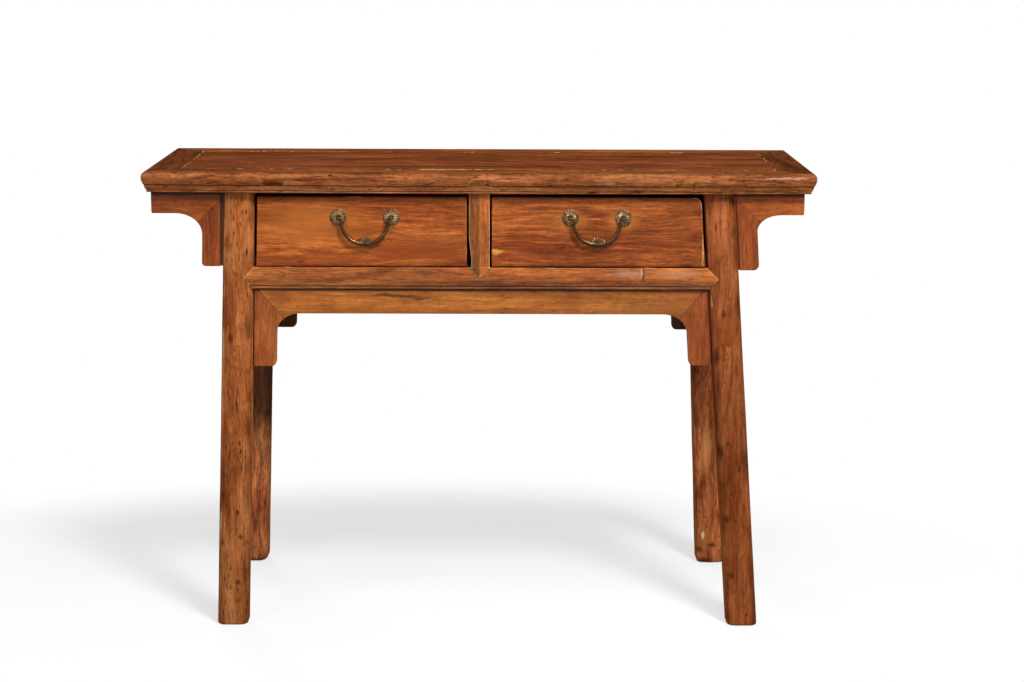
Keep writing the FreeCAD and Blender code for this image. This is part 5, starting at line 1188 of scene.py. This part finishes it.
def shell_skin(middle, level):
    """The lobed shell that stands on the bail's grip."""
    skin = bmesh.new()
    wear_and_painted_light = skin.verts.layers.float.new("wear_and_painted_light")
    sheets = []
    for face in (1, -1):
        sheet = []
        for row in range(SHELL_ROWS + 1):
            share, line = row / SHELL_ROWS, []
            for column in range(SHELL_COLUMNS + 1):
                angle = math.pi * column / SHELL_COLUMNS
                lobes = abs(math.sin(SHELL_LOBES * angle))
                reach = share * (0.9 + 0.1 * lobes)
                swell = SHELL_SWELL * (1 - share ** 2.4) * (0.8 + 0.2 * lobes) + SHELL_RIM
                vert = skin.verts.new((middle + SHELL_HALF * reach * math.cos(angle),
                                       -EYE_LINE - face * swell,
                                       level + SHELL_HEIGHT * reach * math.sin(angle)))
                vert[wear_and_painted_light] = (lobes - 0.45) * 1.6 if row > 2 else 0.3
                line.append(vert)
            sheet.append(line)
        sheets.append(sheet)
        bridge(skin, sheet, closed=False)
    rims = [[line[0] for line in sheet] + sheet[-1][1:] + [line[-1] for line in sheet[-2::-1]]
            for sheet in sheets]
    bridge(skin, rims, closed=False)
    return closed_up(skin)


def bail_skin(middle):
    """The rod, with a painted highlight on its upper right and painted shade on its lower left, and the shell
    on its grip.
    """
    path = bail_path()
    rings = []
    for i, (spot, thick) in enumerate(path):
        ahead = (path[min(i + 1, len(path) - 1)][0] - path[max(i - 1, 0)][0]).normalized()
        across = Vector((-ahead.y, ahead.x))
        ring = []
        for angle in (2 * math.pi * step / 16 for step in range(16)):
            side = across * math.cos(angle) * thick
            place = Vector((middle + spot.x + side.x, -EYE_LINE + math.sin(angle) * thick,
                            EYE_LEVEL + spot.y + side.y))
            # Painted light: the rod's lower left is darkened as shade and the rest brightened as a highlight.
            under = (-0.5 * side.x - 0.85 * side.y) / thick
            ring.append((place, 0.8 * max(0, 0.2 - under) - 1.4 * max(0, under)))
        rings.append(ring)
    grip = min(spot.y for spot, _ in path)
    return joined([loft(rings), shell_skin(middle, EYE_LEVEL + grip - mm)])


for name, middle in PULL_MIDDLE.items():
    pair = joined([rosette(middle + way * EYE_HALF) for way in (-1, 1)])
    settle(f"{name}_rosettes", pair, rosette_brass, body=f"{name}_drawer", sharp=50)
    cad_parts[f"{name}_eye_posts"].data.materials[0] = post_brass
    settle(f"{name}_bail", bail_skin(middle), bail_brass, body=f"{name}_pull", sharp=50)

# Floor, light and camera
# A white studio: the floor keeps the soft shadow of the legs, a large lamp stands to the front right,
# and the camera looks slightly down from where the photograph was taken.
FLOOR_HALF, WHITE = 60, rgb(1, 1, 1)
LAMP_AIM = Vector((0, 0, 0.55))
SENSOR_WIDTH, FOCAL_PIXELS, PHOTO_PIXELS = 36, 2272.3, 1024
CAMERA_PLACE = 30.3 * mm, -4239.2 * mm, 1258 * mm
CAMERA_ROLL, CAMERA_PITCH, CAMERA_TURN = 0.0043, 0.17995, 0.0072


def seen_rays(tree):
    """1 for what the camera sees, straight or mirrored or through glass, and 0 for light on its way."""
    rays = add(tree, "ShaderNodeLightPath", {}).outputs
    return sums(tree, "MAXIMUM", rays["Is Camera Ray"],
                sums(tree, "MAXIMUM", rays["Is Glossy Ray"], rays["Is Transmission Ray"]))


def lamp(name, place, power, size):
    data = bpy.data.lights.new(name, "AREA")
    data.shape, data.size, data.energy = "DISK", size, power
    light = bpy.data.objects.new(name, data)
    light.location = place
    light.rotation_euler = (LAMP_AIM - Vector(place)).to_track_quat("-Z", "Y").to_euler()
    bpy.context.scene.collection.objects.link(light)


floor_data = bpy.data.meshes.new("studio_floor")
corners = [(x * FLOOR_HALF, y * FLOOR_HALF, 0) for x, y in ((-1, -1), (1, -1), (1, 1), (-1, 1))]
floor_data.from_pydata(corners, [], [(0, 1, 2, 3)])
floor = bpy.data.objects.new("studio_floor", floor_data)
bpy.context.scene.collection.objects.link(floor)
floor_white = bpy.data.materials.new("floor_white")
tree = cleared(floor_white)
place = add(tree, "ShaderNodeTexCoord", {}).outputs["Object"]
near = add(tree, "ShaderNodeMapping",
           {"Vector": place, "Location": (0.12, -0.15, 0), "Scale": (0.8, 1.25, 1)})
far = add(tree, "ShaderNodeVectorMath", {0: near.outputs[0]}, operation="LENGTH").outputs["Value"]
matt = add(tree, "ShaderNodeBsdfDiffuse", {"Color": rgb(0.45, 0.45, 0.45)})
shaded = add(tree, "ShaderNodeBsdfDiffuse", {"Color": rgb(0.36, 0.36, 0.365)})
glow = add(tree, "ShaderNodeEmission", {"Color": WHITE, "Strength": 0.61})
white = add(tree, "ShaderNodeEmission", {"Color": WHITE, "Strength": 1.0})
near_floor = add(tree, "ShaderNodeAddShader", {0: shaded.outputs[0], 1: glow.outputs[0]})
edge = ranged(tree, far, 0.6, 1.05, 0, 1, True)
shown = add(tree, "ShaderNodeMixShader", {0: edge, 1: near_floor.outputs[0], 2: white.outputs[0]})
ground = add(tree, "ShaderNodeMixShader", {0: seen_rays(tree), 1: matt.outputs[0], 2: shown.outputs[0]})
add(tree, "ShaderNodeOutputMaterial", {"Surface": ground.outputs[0]})
floor_data.materials.append(floor_white)

world = bpy.data.worlds.new("white_studio")
bpy.context.scene.world = world
tree = cleared(world)
brightness = ranged(tree, seen_rays(tree), 0, 1, 0.22, 1.0)
sky = add(tree, "ShaderNodeBackground", {"Color": WHITE, "Strength": brightness})
add(tree, "ShaderNodeOutputWorld", {"Surface": sky.outputs[0]})

lamp("key_lamp", (1.6, -3.2, 4.0), 190, 1.1)
lamp("high_lamp", (0.5, -1.5, 3.6), 38, 1.3)
lamp("fill_lamp", (-2.8, -3.6, 2.4), 32, 2.0)
lamp("rear_lamp", (-1.6, 3.6, 2.6), 50, 2.0)

camera_data = bpy.data.cameras.new("camera")
camera_data.sensor_width, camera_data.lens = SENSOR_WIDTH, FOCAL_PIXELS * SENSOR_WIDTH / PHOTO_PIXELS
camera_data.clip_end = 200
camera = bpy.data.objects.new("camera", camera_data)
aim = (Matrix.Rotation(CAMERA_ROLL, 3, "Y") @ Matrix.Rotation(CAMERA_PITCH, 3, "X")
       @ Matrix.Rotation(CAMERA_TURN, 3, "Z")).transposed()
right, ahead, up = aim.col
camera.matrix_world = Matrix.Translation(CAMERA_PLACE) @ Matrix((right, up, -ahead)).transposed().to_4x4()
bpy.context.scene.collection.objects.link(camera)
bpy.context.scene.camera = camera
bpy.context.scene.view_settings.view_transform = "Standard"
